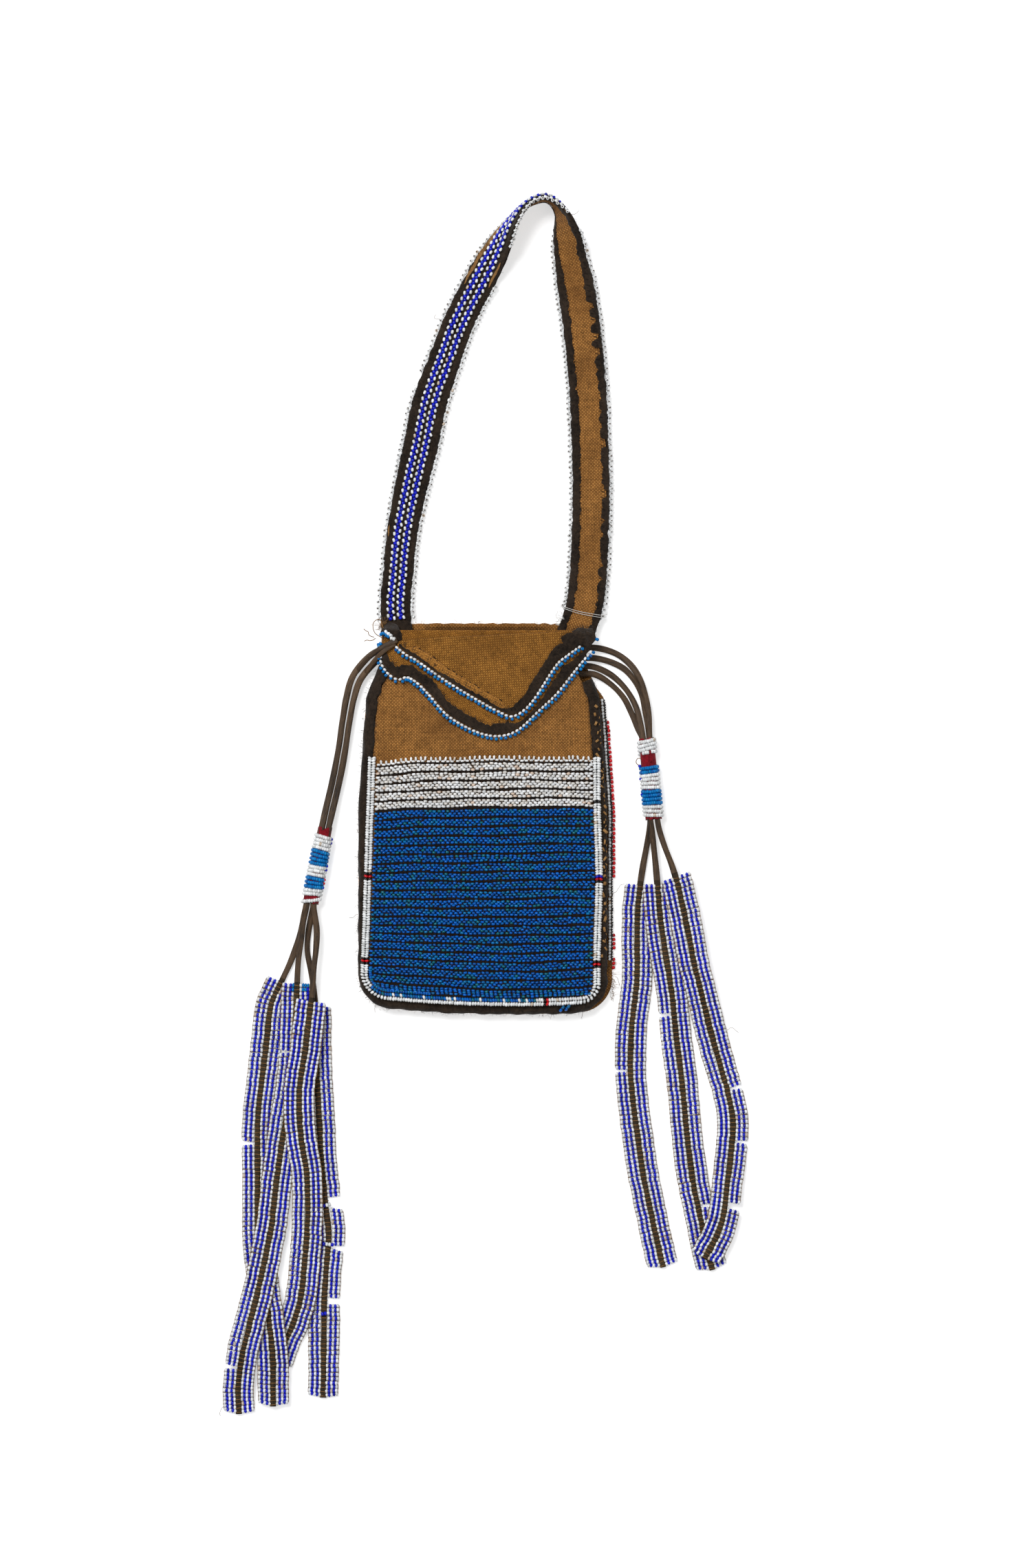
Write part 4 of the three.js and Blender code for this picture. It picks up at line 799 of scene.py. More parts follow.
# rows: start, colours, slant at the top and at the foot; ends: small beads where rows end, with place and colour;
# worn: the row, by start and number, that has lost a share of its beads
sleeveSpots = {
    "left": dict(
        top=(-71.9, -4.4), foot=(-78.4, -38.1), woolTo=34.3, jag=1.5, row=1.77, endSide=-1, taper=(0.88, 0.99), seed=5,
        rows=[(2.9, "wwwwbbbbwwwbbbww", -0.11, 0.09), (32.3, "w", 0.3, 0.3)], worn=None,
        ends=[(4.2, 2), (6.0, 2), (16.6, 2), (18.4, 2), (22.9, 3), (24.6, 3), (26.6, 2)],
        nodes=["left_sleeve_wool", "left_sleeve_beads", "left_sleeve_foot_row"]),
    "right": dict(
        top=(74.4, 36.6), foot=(77.8, 0), woolTo=36.7, jag=0.6, row=1.8, endSide=1, taper=(0.94, 1.03), seed=6,
        rows=[(0.2, "wwww", 0.14, 0.1), (12.4, "bbwwwwbbbbwww", 0.03, -0.08)], worn=(0.2, 3),
        ends=[(12.2, 2), (18.1, 2), (25.2, 2)],
        nodes=["right_sleeve_wool", "right_sleeve_upper_beads", "right_sleeve_lower_beads"]),
}


# places round a blunt oval, evenly spaced
def ovalPoints(turns, halfWidth, halfHeight):
    a = np.linspace(0, 2 * math.pi, 241)
    c, s = np.cos(a), np.sin(a)
    x = np.sign(c) * np.abs(c) ** 0.8 * halfWidth
    z = np.sign(s) * np.abs(s) ** 0.8 * halfHeight
    run = np.concatenate([[0], np.cumsum(np.hypot(np.diff(x), np.diff(z)))])
    at = np.mod(turns, 1) * run[-1]
    return np.interp(at, run, x), np.interp(at, run, z)


def makeSleeve(key):
    spot = sleeveSpots[key]
    wool = [h + sleeves["wool"] for h in sleeves["bore"]]
    bore = [h + sleeves["seam"] for h in wool]
    height = bore[1] + sleeves["bead"] + sleeves["floorGap"]
    top = np.array([*spot["top"], height])
    way = unit(np.array([*spot["foot"], height]) - top)
    side, up = np.array([way[1], -way[0], 0]), np.array([0, 0, 1.0])
    r = np.random.default_rng(spot["seed"])

    def inSleeve(down, x, z):
        return top + way * down[:, None] + side * x[:, None] + up * z[:, None]

    # wool tube, outer wall down and inner wall up again
    sides, steps = sleeves["sides"], sleeves["steps"]
    angle = np.arange(sides) * 2 * math.pi / sides
    jag = spot["jag"] * (np.sin(angle * 5 + 1) * 0.5 + np.sin(angle * 11) * 0.3)
    rings = []
    for size, order in ((wool, range(steps)), (sleeves["bore"], range(steps - 1, -1, -1))):
        x, z = ovalPoints(angle / (2 * math.pi), *size)
        for i in order:
            t = i / (steps - 1)
            d = t * spot["woolTo"] + jag * (1 - smoothStep(t, 0, 0.1)) + 0.4 * np.sin(angle * 7) * smoothStep(t, 0.9, 1)
            rings.append(inSleeve(d, x * np.interp(t, (0, 1), spot["taper"]), z))
    rings.append(rings[0])
    mesh = meshOf(np.array(rings), gridFaces(len(rings), sides, True), [redWool])
    tube = addPiece(key + "_sleeve_cloth", mesh, "red_wool", spot["nodes"][0])

    bag = BeadBag()
    wide, high = (h + sleeves["seat"] for h in bore)
    around = sleeves["beadsRound"]
    for start, colours, slantTop, slantFoot in spot["rows"]:
        for k, colour in enumerate(colours):
            d = start + (k + 0.5) * spot["row"]
            slant = np.interp(k, (0, len(colours)), (slantTop, slantFoot))
            a = (np.arange(around) + 0.5 * (k % 2)) / around + r.normal(0, 0.003, around)
            tapered = wide * np.interp(d, (0, spot["woolTo"]), spot["taper"])
            x, z = ovalPoints(a, tapered, high)
            nextX, nextZ = ovalPoints(a + 0.003, tapered, high)
            skew = 0.35 * np.sin(a * 6.3 + k)
            centre = inSleeve(d + slant * x + skew * 0.4 + r.normal(0, 0.06, around), x, z)
            axis = side * (nextX - x)[:, None] + up * (nextZ - z)[:, None]
            keep = r.random(around) > 0.25 if (start, k) == spot["worn"] else np.ones(around, bool)
            bag.add(centre[keep], axis[keep], sleeves["beadLength"], sleeves["beadRadius"], 0 if colour == "w" else 1)
    for d, colour in spot["ends"]:
        out = wide * np.interp(d, (0, spot["woolTo"]), spot["taper"]) + sleeves["endOut"]
        bag.add(top + way * d + side * (spot["endSide"] * out) + up * sleeves["endRise"], way, sleeves["endLength"],
                sleeves["endRadius"], colour)
    beads = addPiece(key + "_sleeve_wrap", bag.mesh(whiteBeads, edgeBlue, cobaltBeads, redBeads), "white_beads",
                     *spot["nodes"][1:])
    return [tube, beads]


# thong ends tied over the left corner of the flap
cornerLaces = dict(
    halfWidth=1.15, halfHeight=0.8, stations=26,
    upper=[(-38.8, 81.2, 11.5), (-41.6, 80, 11.7), (-44.6, 78.5, 11.5), (-47.4, 76.9, 11.2), (-50, 75, 9.0),
           (-52.4, 72.9, 6.8), (-55, 70.2, 4.8), (-57.4, 67.2, 2.9)],
    lower=[(-40, 79.9, 11.1), (-42.2, 78.3, 11.2), (-44.6, 76.5, 11.3), (-47, 74.4, 10.4), (-49.2, 71.9, 7.6),
           (-51.4, 69.1, 5.0), (-53.8, 66, 2.9)])


def makeCornerLaces():
    half, high = cornerLaces["halfWidth"], cornerLaces["halfHeight"]
    shapes, uvs = [], []
    for k, key in enumerate(("upper", "lower")):
        path = smoothRoute(cornerLaces[key], cornerLaces["stations"])
        run = np.linspace(0, lengthOf(path), len(path))
        worn = 1 + 0.06 * np.sin(run / 3.1 + k + 1)
        verts, quads, uv = laceShape(path, run, half, half * worn, high * worn, k * 9)[:3]
        shapes.append((verts, quads))
        uvs.append(uv)
    return addPiece("left_corner_laces", meshOf(*joinShapes(shapes), [leather], np.vstack(uvs)), "leather")


def makeBunches():
    sleeve = {key: makeSleeve(key) for key in sleeveSpots}
    for name, route in routes.items():
        bunch, sewn = name.split("_")[0], stripLengths[name]
        piece, path, length = makeThong(name, route, sewn)
        extra = makeStrip(name.replace("thong", "strip"), path, sewn) if sewn else []
        if name.endswith("_1"):
            extra += sleeve[bunch]
        if name == "left_thong_2":
            extra.append(makeCornerLaces())


makeBunches()
print("thongs, sleeves and beaded strips made")

# pouch: form shared by its cloth and its beadwork
pouch = dict(
    width=113.4, length=178.0, footRadius=14.0, gusset=4.8, seam=0.3, backCloth=1.2, frontCloth=1.0, depth=6.0,
    crown=1.5, frontDrop=4.5, overhang=2.2, overhangFrom=35.0, overhangFade=8.0, gussetLeftEnd=19.0,
    gussetRightEnd=25.0, drawIn=[(0, 10.7), (18, 10.2), (26, 6.5), (34, 3.6), (48, 2.5), (66, 1.3), (86, 0)])
mouth, foot = pouch["length"] / 2, -pouch["length"] / 2
halfBody = pouch["width"] / 2
frontTop = pouch["backCloth"] + pouch["depth"] + pouch["frontCloth"]
halfFront = halfBody - pouch["gusset"] - pouch["seam"]
frontEdge = mouth - pouch["frontDrop"]


def halfAt(y):
    drops, ins = zip(*pouch["drawIn"])
    return halfBody - np.interp(mouth - np.asarray(y, float), drops, ins)


def arch(x):
    return frontTop + pouch["crown"] * (1 - (np.asarray(x, float) / halfFront) ** 2)


# the foot bows: lowest at one place, and higher towards the corners
bowing = dict(middle=18.0, left=4.1, right=1.9, full=4.0, reach=49.0)


def bowFoot(mesh):
    flat = np.empty(len(mesh.vertices) * 3, np.float32)
    mesh.vertices.foreach_get("co", flat)
    places = flat.reshape(-1, 3).astype(float) / mm
    x, y = places[:, 0], places[:, 1]
    onLeft = x < bowing["middle"]
    side = np.where(onLeft, halfBody + bowing["middle"], halfBody - bowing["middle"])
    rise = np.where(onLeft, bowing["left"], bowing["right"]) * ((x - bowing["middle"]) / side) ** 2
    places[:, 1] = y + rise * (1 - smoothStep(y, foot + bowing["full"], foot + bowing["reach"]))
    mesh.vertices.foreach_set("co", (places * mm).astype(np.float32).ravel())
    mesh.update()
    return mesh


# how far a rounded lower corner stands in from the side
def cornerCut(y, low, radius):
    rise = np.clip(np.asarray(y, float) - low, 0, radius)
    return radius - np.sqrt(np.maximum(radius**2 - (radius - rise) ** 2, 0))


# heights of a cloth's rows, closer together at its rounded corners
def clothRows(low, radius, top, rows, cornerRows):
    return np.concatenate([low + radius * (1 - np.cos(np.linspace(0, math.pi / 2, cornerRows))),
                           np.linspace(low + radius + 1, top, rows - cornerRows)])


# back cloth, which stands up a little between the strap's feet
backForm = dict(rows=100, cornerRows=16, cols=50, fray=0.25, stand=5.0, standDepth=6.0, standWide=(22, 30), pinch=0.15)


def makeBack():
    y = clothRows(foot, pouch["footRadius"], mouth, backForm["rows"], backForm["cornerRows"])
    corner = cornerCut(y, foot, pouch["footRadius"])
    full = mouth - pouch["overhangFrom"]
    more = pouch["overhang"] * (1 - smoothStep(y, full, full + pouch["overhangFade"]))
    left, right = halfAt(y) - corner, halfAt(y) + more - corner
    x = -left[:, None] + (left + right)[:, None] * np.linspace(0, 1, backForm["cols"])
    yy = np.repeat(y[:, None], backForm["cols"], 1)
    fray = ripple(x, yy, backForm["fray"], 6, 3)
    fray[:-1] = 0
    stand = backForm["stand"] * smoothStep(yy, mouth - backForm["standDepth"], mouth)
    stand = stand * (1 - smoothStep(np.abs(x), *backForm["standWide"])) * (1 + ripple(x, 0 * x, 0.25, 22, 4))
    under = xyz(x, yy + fray, np.maximum(stand, 0))
    mesh = closedCloth(under + [0, 0, pouch["backCloth"]], under, brownCloth, np.stack([x, yy], -1), backForm["pinch"])
    piece = addPiece("back_cloth", bowFoot(mesh), "brown_cloth", "back_panel")


frontForm = dict(rows=100, cornerRows=14, cols=60, edgeGap=0.15, wave=0.45, waveHigh=0.1, waveFrom=(26, 40))


def makeFront():
    inset = pouch["gusset"] + pouch["seam"]
    low, radius = foot + pouch["gusset"] + pouch["seam"], pouch["footRadius"] - pouch["gusset"] - pouch["seam"]
    y = clothRows(low, radius, frontEdge - frontForm["edgeGap"], frontForm["rows"], frontForm["cornerRows"])
    slope = np.gradient(halfAt(y), y)
    half = halfAt(y) - inset * np.hypot(1, slope) - cornerCut(y, low, radius)
    x = half[:, None] * np.linspace(-1, 1, frontForm["cols"])
    yy = np.repeat(y[:, None], frontForm["cols"], 1)
    wave = ripple(x, yy, frontForm["wave"], 18, 8) * smoothStep(yy, *frontForm["waveFrom"])
    over = xyz(x, yy, arch(x) + np.minimum(wave, frontForm["waveHigh"]))
    mesh = closedCloth(over, over - [0, 0, pouch["frontCloth"]], brownCloth)
    piece = addPiece("front_cloth", bowFoot(mesh), "brown_cloth", "front_panel")


# path of the gusset: down the left side, round the foot and up the right side
def gussetPath(inset):
    cx, cy = halfBody - pouch["footRadius"], foot + pouch["footRadius"]
    left = np.linspace(mouth - pouch["gussetLeftEnd"], cy, 90)
    right = np.linspace(cy, mouth - pouch["gussetRightEnd"], 88)
    turn = np.radians(np.linspace(180, 270, 20))[1:-1]
    r = pouch["footRadius"]
    line = np.vstack([
        xyz(-halfAt(left), left, 0),
        xyz(-cx + r * np.cos(turn), cy + r * np.sin(turn), 0),
        xyz(np.linspace(-cx, cx, 50), foot, 0),
        xyz(cx - r * np.cos(turn[::-1]), cy + r * np.sin(turn[::-1]), 0),
        xyz(halfAt(right), right, 0),
    ])
    return line - rightOf(line) * inset


gusset = dict(stations=420, wobble=0.28, lip=0.5, lipFrom=-4.9, wobbleFrom=-3, floorGap=0.15)


def makeGusset():
    path = respace(gussetPath(0), gusset["stations"])
    out = rightOf(path)
    low, high = pouch["backCloth"] + gusset["floorGap"], frontTop
    # section: distance out from the path, and height
    section = [(-4.8, low), (-2.4, low - 0.05), (-0.7, low), (-0.1, low + 1.6), (0, (low + high) / 2),
               (-0.2, high - 1.6), (-0.8, high - 0.6), (-1.7, high - 0.1), (-2.6, high + 0.05), (-3.8, high + 0.15),
               (-5.0, high + 0.25), (-4.75, high - 3)]
    run = np.arange(len(path)) * 0.9
    rings = []
    for s, h in section:
        wob = ripple(run, np.full(len(run), s * 3 + h), gusset["wobble"], 9, 21)
        lip = ripple(run, 0 * run, gusset["lip"], 4.5, 23) * (s < gusset["lipFrom"])
        reach = s + wob * (s > gusset["wobbleFrom"]) - lip
        rings.append(path + out * reach[:, None] + np.array([0, 0, 1.0]) * (h + wob * 0.4)[:, None])
    rings = np.array(rings).transpose(1, 0, 2)
    rings = closeEnds(rings, *(end.mean(1, keepdims=True) for end in (rings[:1], rings[-1:])))
    mesh = meshOf(rings, gridFaces(len(rings), len(section), True), [blackWool])
    piece = addPiece("side_gusset_band", bowFoot(mesh), "black_wool", "side_gusset")


makeBack()
makeGusset()
makeFront()
print("pouch cloth made")

# beadwork on the front
field = dict(
    drop=63.3, bandPitch=4.1, bandLine=0.95, rows=3, whiteBands=5, blueBands=21, insetLeftTop=8.2, insetLeftFoot=4.6,
    insetRight=6.9, bulge=1.0, bulgeAt=-27, bulgeReach=22, radius=8.0, radiusRight=5.0, droop=1.5, droopWide=(-50, -26),
    droopHigh=(-70, 20), beadPitch=2.04, beadRadius=0.97, beadLength=1.12, seat=0.12, rowThread=0.5, rowRise=0.55,
    couching=0.52, couchRise=0.6, picot=1.9, borderPitch=1.16)
fieldTop = mouth - field["drop"]
blueTop = fieldTop - field["whiteBands"] * field["bandPitch"] - pouch["seam"]
fieldFoot = blueTop - field["blueBands"] * field["bandPitch"]
fieldRight = halfBody - field["insetRight"]


def fieldLeft(y):
    down = (fieldTop - np.asarray(y, float)) / (fieldTop - fieldFoot)
    return -halfBody + field["insetLeftTop"] + (field["insetLeftFoot"] - field["insetLeftTop"]) * down


def leftEnd(y):
    return fieldLeft(y) + cornerCut(y, fieldFoot, field["radius"])


def rightEnd(y):
    bulge = field["bulge"] * np.exp(-((y - field["bulgeAt"]) / field["bulgeReach"]) ** 2)
    return fieldRight + bulge - cornerCut(y, fieldFoot, field["radiusRight"])


# the bands hang a little at their left end and wander
def sagAt(x, y):
    left = field["droop"] * (1 - smoothStep(x, *field["droopWide"])) * smoothStep(y, *field["droopHigh"])
    return -left + 0.3 * np.sin(x / 17 + y / 31) + 0.2 * np.sin(x / 6.1 + y / 3.7)


# bands of staggered bead rows, with a couching line between them and a thread under every row
def makeField(name, top, bands, beads, slotName, nodeName, seed, bedding, size):
    r = np.random.default_rng(seed)
    bag, lines, beds = BeadBag(), [], []
    row = (field["bandPitch"] - field["bandLine"]) / field["rows"]
    for band in range(bands):
        start = top - band * field["bandPitch"]
        for k in range(field["rows"]):
            y = start - field["bandLine"] / 2 - (k + 0.5) * row
            low, high = leftEnd(y) + 0.9, rightEnd(y) - 0.7
            count = round((high - low) / field["beadPitch"]) + 1
            pitch = (high - low) / (count - 1)
            count -= k % 2
            x = low + (np.arange(count) + 0.5 * (k % 2)) * pitch + r.normal(0, 0.09, count)
            under = np.linspace(low - 0.5, high + 0.4, 40)
            beds.append(thread(xyz(under, y + sagAt(under, y), arch(under) + field["rowRise"]), field["rowThread"]))
            yy = y + sagAt(x, y) + r.normal(0, 0.12, count)
            radius = size * field["beadRadius"] * r.uniform(0.9, 1.04, count)
            z = arch(x) + field["seat"] + radius + r.normal(0, 0.05, count)
            axis = xyz(r.normal(0, 0.16, count), 1, r.normal(0, 0.1, count))
            bag.add(xyz(x, yy, z), axis, size * field["beadLength"] * r.uniform(0.86, 1.05, count), radius)
        heights = [start if band else start - 0.25]
        if band == bands - 1:
            heights.append(start - field["bandPitch"])
        for y in heights:
            x = np.linspace(leftEnd(y) + 0.4, rightEnd(y) - 0.3, 60)
            z = arch(x) + field["couchRise"] + 0.1 * np.sin(x * 1.9 + band)
            lines.append(thread(xyz(x, y + sagAt(x, y), z), field["couching"], 5))
    addPiece(name + "_beads", bowFoot(bag.mesh(beads)), slotName, nodeName)
    addShapes(name + "_couching", lines, darkThread, "black_wool", True)
    addShapes(name + "_row_threads", beds, bedding, "black_wool", True)


# picot: a lying bead, then a standing bead at each step, and beads on end where the row turns into the border
picot = dict(
    count=44, lyingUp=0.45, lyingRise=0.75, lyingLength=1.5, standingUp=1.55, standingRise=0.95, standingLength=1.9,
    radius=0.55, endLength=1.1, endRadius=0.95, endThread=0.36,
    ends=[(-51.3, 27.0, 1.0), (-49.4, 27.4, 1.1), (49.7, 25.9, 1.0), (51.4, 26.1, 1.0)])


def makePicot():
    bag = BeadBag()
    r = np.random.default_rng(31)
    low, count = fieldTop + pouch["seam"], picot["count"]
    x = np.linspace(fieldLeft(low) + 1.2, fieldRight - 0.8, count) + r.normal(0, 0.16, count)
    sag, z, step = sagAt(x, low), arch(x), x[1] - x[0]
    lying = xyz(x, low + picot["lyingUp"] + sag + r.normal(0, 0.1, count), z + picot["lyingRise"])
    bag.add(lying, [1, 0, 0], picot["lyingLength"], picot["radius"])
    standing = xyz(x + step / 2, low + picot["standingUp"] + sag + r.normal(0, 0.15, count), z + picot["standingRise"])
    bag.add(standing[:-1], xyz(r.normal(0, 0.15, count - 1), 1, 0), picot["standingLength"], picot["radius"])
    loops = np.array(picot["ends"], float)
    loops[:, 2] += arch(loops[:, 0])
    bag.add(loops, [0.1, 0.15, 1], picot["endLength"], picot["endRadius"])
    addPiece("picot_beads", bag.mesh(whiteBeads), "white_beads", "white_picot_row")
    cores = [thread([at - [0, 0, 0.4], at + [0, 0, 0.42]], picot["endThread"], 5) for at in loops]
    addShapes("picot_loop_threads", cores, rowThread, "black_wool")


def borderPath():
    start, r, tight = fieldTop + field["picot"], field["radius"], field["radiusRight"]
    left, right = np.linspace(start, fieldFoot + r, 60), np.linspace(fieldFoot + tight, start, 60)
    leftTurn, rightTurn = float(fieldLeft(left[-1])) + r, fieldRight - tight
    turn = np.radians(np.linspace(180, 270, 16))[1:-1]
    return np.vstack([
        xyz(fieldLeft(left), left, 0),
        xyz(leftTurn + r * np.cos(turn), left[-1] + r * np.sin(turn), 0),
        xyz(np.linspace(leftTurn, rightTurn, 40), fieldFoot, 0),
        xyz(rightTurn - tight * np.cos(turn[::-1]), right[0] + tight * np.sin(turn[::-1]), 0),
        xyz(rightEnd(right), right, 0),
    ])


# border of two bead lines; breaks: where other colours stand in for white (1 red, 2 black, 3 cobalt)
border = dict(
    reach=(1.1, 2.86), rise=1.0, beadLength=1.12, beadRadius=0.99, lean=0.38, blueShare=0.85, blueRise=1.35,
    blueIn=0.7, blueLength=1.3, blueRadius=0.66, strayLength=1.25, strayRadius=0.9,
    breaks=[(-50, -25.3, (2, 1, 2)), (-53, -65.3, (2, 1, 2)), (53, -28, (2, 1, 3)), (53, -67.9, (2, 1, 2)),
            (28.4, -85, (2, 1)), (53, 8.0, (2,))],
    strayBlue=[(36.4, -85.8, 10.6), (37.8, -86.8, 9.6), (35.4, -87.2, 9.3), (38.9, -85.6, 10.8), (48.4, -80.4, 9.6)])


def makeBorder():
    line = borderPath()
    count = int(lengthOf(line) / field["borderPitch"])
    path = respace(line, count)
    out, way = rightOf(path), tangents(path)
    r = np.random.default_rng(41)
    bag = BeadBag()
    slot = np.zeros(count, int)
    for x, y, colours in border["breaks"]:
        near = np.argmin(np.hypot(path[:, 0] - x, path[:, 1] - y))
        for k, colour in enumerate(colours):
            slot[min(near + k, count - 1)] = colour
    blue = 4
    alongFoot = (path[:, 1] < fieldFoot + 2.5) & (path[:, 0] < 24)
    for sign, reach in zip((-1, 1), border["reach"]):
        # along the foot blue beads lie over the border's inner half
        colour = np.where(alongFoot & (sign < 0) & (r.random(count) < border["blueShare"]), blue, slot)
        at = path + out * (reach + r.normal(0, 0.06, count))[:, None] + way * r.normal(0, 0.06, count)[:, None]
        at[:, 2] = np.maximum(arch(at[:, 0]), frontTop + 0.15) + border["rise"]
        axis = way + out * (sign * border["lean"] + r.normal(0, 0.1, count))[:, None]
        bag.add(at, axis, border["beadLength"], border["beadRadius"] * r.uniform(0.93, 1.05, count), colour)
    # blue beads that follow the border round the left corner, and stray ones at the foot
    inside = np.flatnonzero((path[:, 0] < -24) & (path[:, 1] < -70))
    at = path[inside] - out[inside] * border["blueIn"]
    at[:, 2] = arch(at[:, 0]) + border["blueRise"]
    bag.add(at, out[inside] + r.normal(0, 0.15, at.shape), border["blueLength"], border["blueRadius"], blue)
    stray = np.array(border["strayBlue"])
    bag.add(stray, r.normal(0, 1, stray.shape) * [1, 1, 0.3], border["strayLength"], border["strayRadius"], blue)
    mesh = bag.mesh(whiteBeads, redBeads, blackBeads, cobaltBeads, panelBlue)
    addPiece("border_beads", bowFoot(mesh), "white_beads", "bead_border")


makeField("white_panel", fieldTop, field["whiteBands"], panelWhite, "white_beads", "white_bead_panel", 51, rowThread,
          1.06)
makeField("blue_panel", blueTop, field["blueBands"], panelBlue, "blue_beads", "blue_bead_panel", 52, darkThread, 1.0)
makePicot()
makeBorder()
print("beadwork on the front made")

# flaps: edges as x and drop below the mouth
flaps = dict(
    cloth=1.0, wool=0.6, seam=0.3, rows=36, stations=150, endLength=4.5, underEndFall=(5, 5), topEndFall=(1.2, 4),
    topFoldDrop=(7.6, 3.4), underBorder=4.3, topBorderLeft=1.2, topBorderRight=4.6, borderChange=4.0, borderSteep=1.7,
    borderLeast=0.8, borderRows=12, setback=0.1, clear=0.5, foldGap=0.4, lineWidth=1.2, dropWidth=1.5,
    underEdge=[(-45.5, 18), (-42.5, 22.3), (-38.5, 24.8), (-34.4, 23.8), (-29.5, 26.4), (-23.7, 32.2), (-16.2, 40.7),
               (-7.8, 46.2), (0.6, 49.7), (8.1, 50.4), (15.6, 47.8), (24.7, 39.4), (33.1, 31.4), (41.6, 20.7),
               (48.3, 12.6)],
    topEdge=[(-38.6, 10.4), (-34, 14), (-29.5, 16.4), (-16.2, 25.7), (0.6, 35.8), (8.4, 39.9), (12.9, 41.6),
             (17.6, 39.4), (22.8, 33.8), (32.4, 19.1), (38.1, 14), (43.4, 10.2)])


# uniform smooth curve, as the CAD draws the flaps' edges
def flapEdge(pairs):
    p = np.array(pairs, float)
    q = np.vstack([p[0], p, p[-1]])
    dense = [spanPoints(b, c, (c - a) / 2, (d - b) / 2) for a, b, c, d in zip(q, q[1:], q[2:], q[3:])]
    line = respace(np.vstack([*dense, p[-1:]]), flaps["stations"])
    return xyz(line[:, 0], mouth - line[:, 1], 0)


underLine, topLine = flapEdge(flaps["underEdge"]), flapEdge(flaps["topEdge"])
topTip = np.argmin(topLine[:, 1])
underLift = flaps["seam"]
topLift = underLift + flaps["cloth"] + flaps["seam"]
topBeadLine = topLine + rightOf(topLine) * (2 * flaps["seam"] + flaps["lineWidth"] + flaps["dropWidth"])


# how far the fold falls towards the flap's two ends
def foldFall(line, x, falls):
    first, last = line[0, 0], line[-1, 0]
    away = np.clip(1 - np.minimum(x - first, last - x) / flaps["endLength"], 0, 1)
    return np.where(x - first < last - x, *falls) * away**2


def underFold(x):
    return frontEdge + flaps["seam"] + flaps["cloth"] - foldFall(underLine, x, flaps["underEndFall"])


def topFold(x):
    t = (x - topLine[0, 0]) / (topLine[-1, 0] - topLine[0, 0])
    a, b = flaps["topFoldDrop"]
    return mouth - (a + (b - a) * t) - foldFall(topLine, x, flaps["topEndFall"])


turnDown = dict(reach=1.3, endReach=0.2, out=0.35, inward=0.7, cut=1.4)


def makeFlap(name, line, fold, lift, material, slotName, nodeName, hooked, seed):
    x = np.repeat(line[None, :, 0], flaps["rows"], 0)
    t = np.linspace(0, 1, flaps["rows"])[:, None]
    y = line[None, :, 1] + (fold(line[:, 0])[None] - line[None, :, 1]) * t
    puff = ripple(x, y, 0.12, 22, seed) * np.sin(math.pi * np.clip(t, 0, 1)) + 0.25 * np.exp(-((1 - t) / 0.06) ** 2)
    z = arch(x) + lift + np.maximum(puff, -0.05)
    over, under, uv = xyz(x, y, z + flaps["cloth"]), xyz(x, y, z), np.stack([x, y], -1)
    if hooked:  # the fold runs over the front panel's top edge
        onFront = np.abs(x[-1]) < halfAt(frontEdge) - pouch["gusset"]
        low = z[-1] - np.where(onFront, turnDown["reach"], turnDown["endReach"])
        over = np.vstack([over, xyz(x[-1], y[-1] + turnDown["out"], low)[None]])
        under = np.vstack([under, xyz(x[-1], y[-1] - turnDown["inward"], low)[None]])
        uv = np.vstack([uv, uv[-1:] + [0, turnDown["cut"]]])
    return addPiece(name, closedCloth(over, under, material, uv), slotName, nodeName)


def underBorderWidth(x):
    return flaps["underBorder"] + 0 * x


def topBorderWidth(x):
    tip = topLine[topTip, 0]
    t = smoothStep(x, tip - flaps["borderChange"], tip + flaps["borderChange"])
    return flaps["topBorderLeft"] + (flaps["topBorderRight"] - flaps["topBorderLeft"]) * t


# height up to which a border has room: the fold, or the other flap's beads
def underRoom(x):
    fold = underFold(x) - flaps["foldGap"]
    inside = (x > topBeadLine[0, 0]) & (x < topBeadLine[-1, 0])
    return np.where(inside, np.minimum(fold, np.interp(x, topBeadLine[:, 0], topBeadLine[:, 1])), fold)


def topRoom(x):
    return topFold(x) - flaps["foldGap"]


def makeFlapBorder(name, line, lift, width, room, nodeName, seed):
    x = line[:, 0]
    steep = np.hypot(1, np.gradient(line[:, 1], line[:, 0]))
    low = line[:, 1] + flaps["setback"] * steep
    high = np.minimum(low + width(x) * np.minimum(steep, flaps["borderSteep"]), room(x) - flaps["clear"])
    keep = high - low > flaps["borderLeast"]
    x, low, high = x[keep], low[keep], high[keep]
    high = high + ripple(x, high, 0.45, 2.6, seed) + ripple(x, 0 * high, 0.5, 9, seed + 5)
    yy = low[None] + (high - low)[None] * np.linspace(0, 1, flaps["borderRows"])[:, None]
    xx = np.repeat(x[None], flaps["borderRows"], 0)
    base = arch(xx) + lift + flaps["cloth"] + 0.1
    rough = 0.12 * ripple(xx * 3, yy * 3, 1, 6, seed + 1)
    over = xyz(xx, yy, base + flaps["wool"] + np.maximum(rough, -0.2))
    return addPiece(name, closedCloth(over, xyz(xx, yy, base), blackWool), "black_wool", nodeName)


# lighter turned hem along the top flap's left edge
goldenHem = dict(fromEdge=1.0, width=3.5, thickness=0.12, puff=0.35, taper=5.0, stations=140, rows=9)


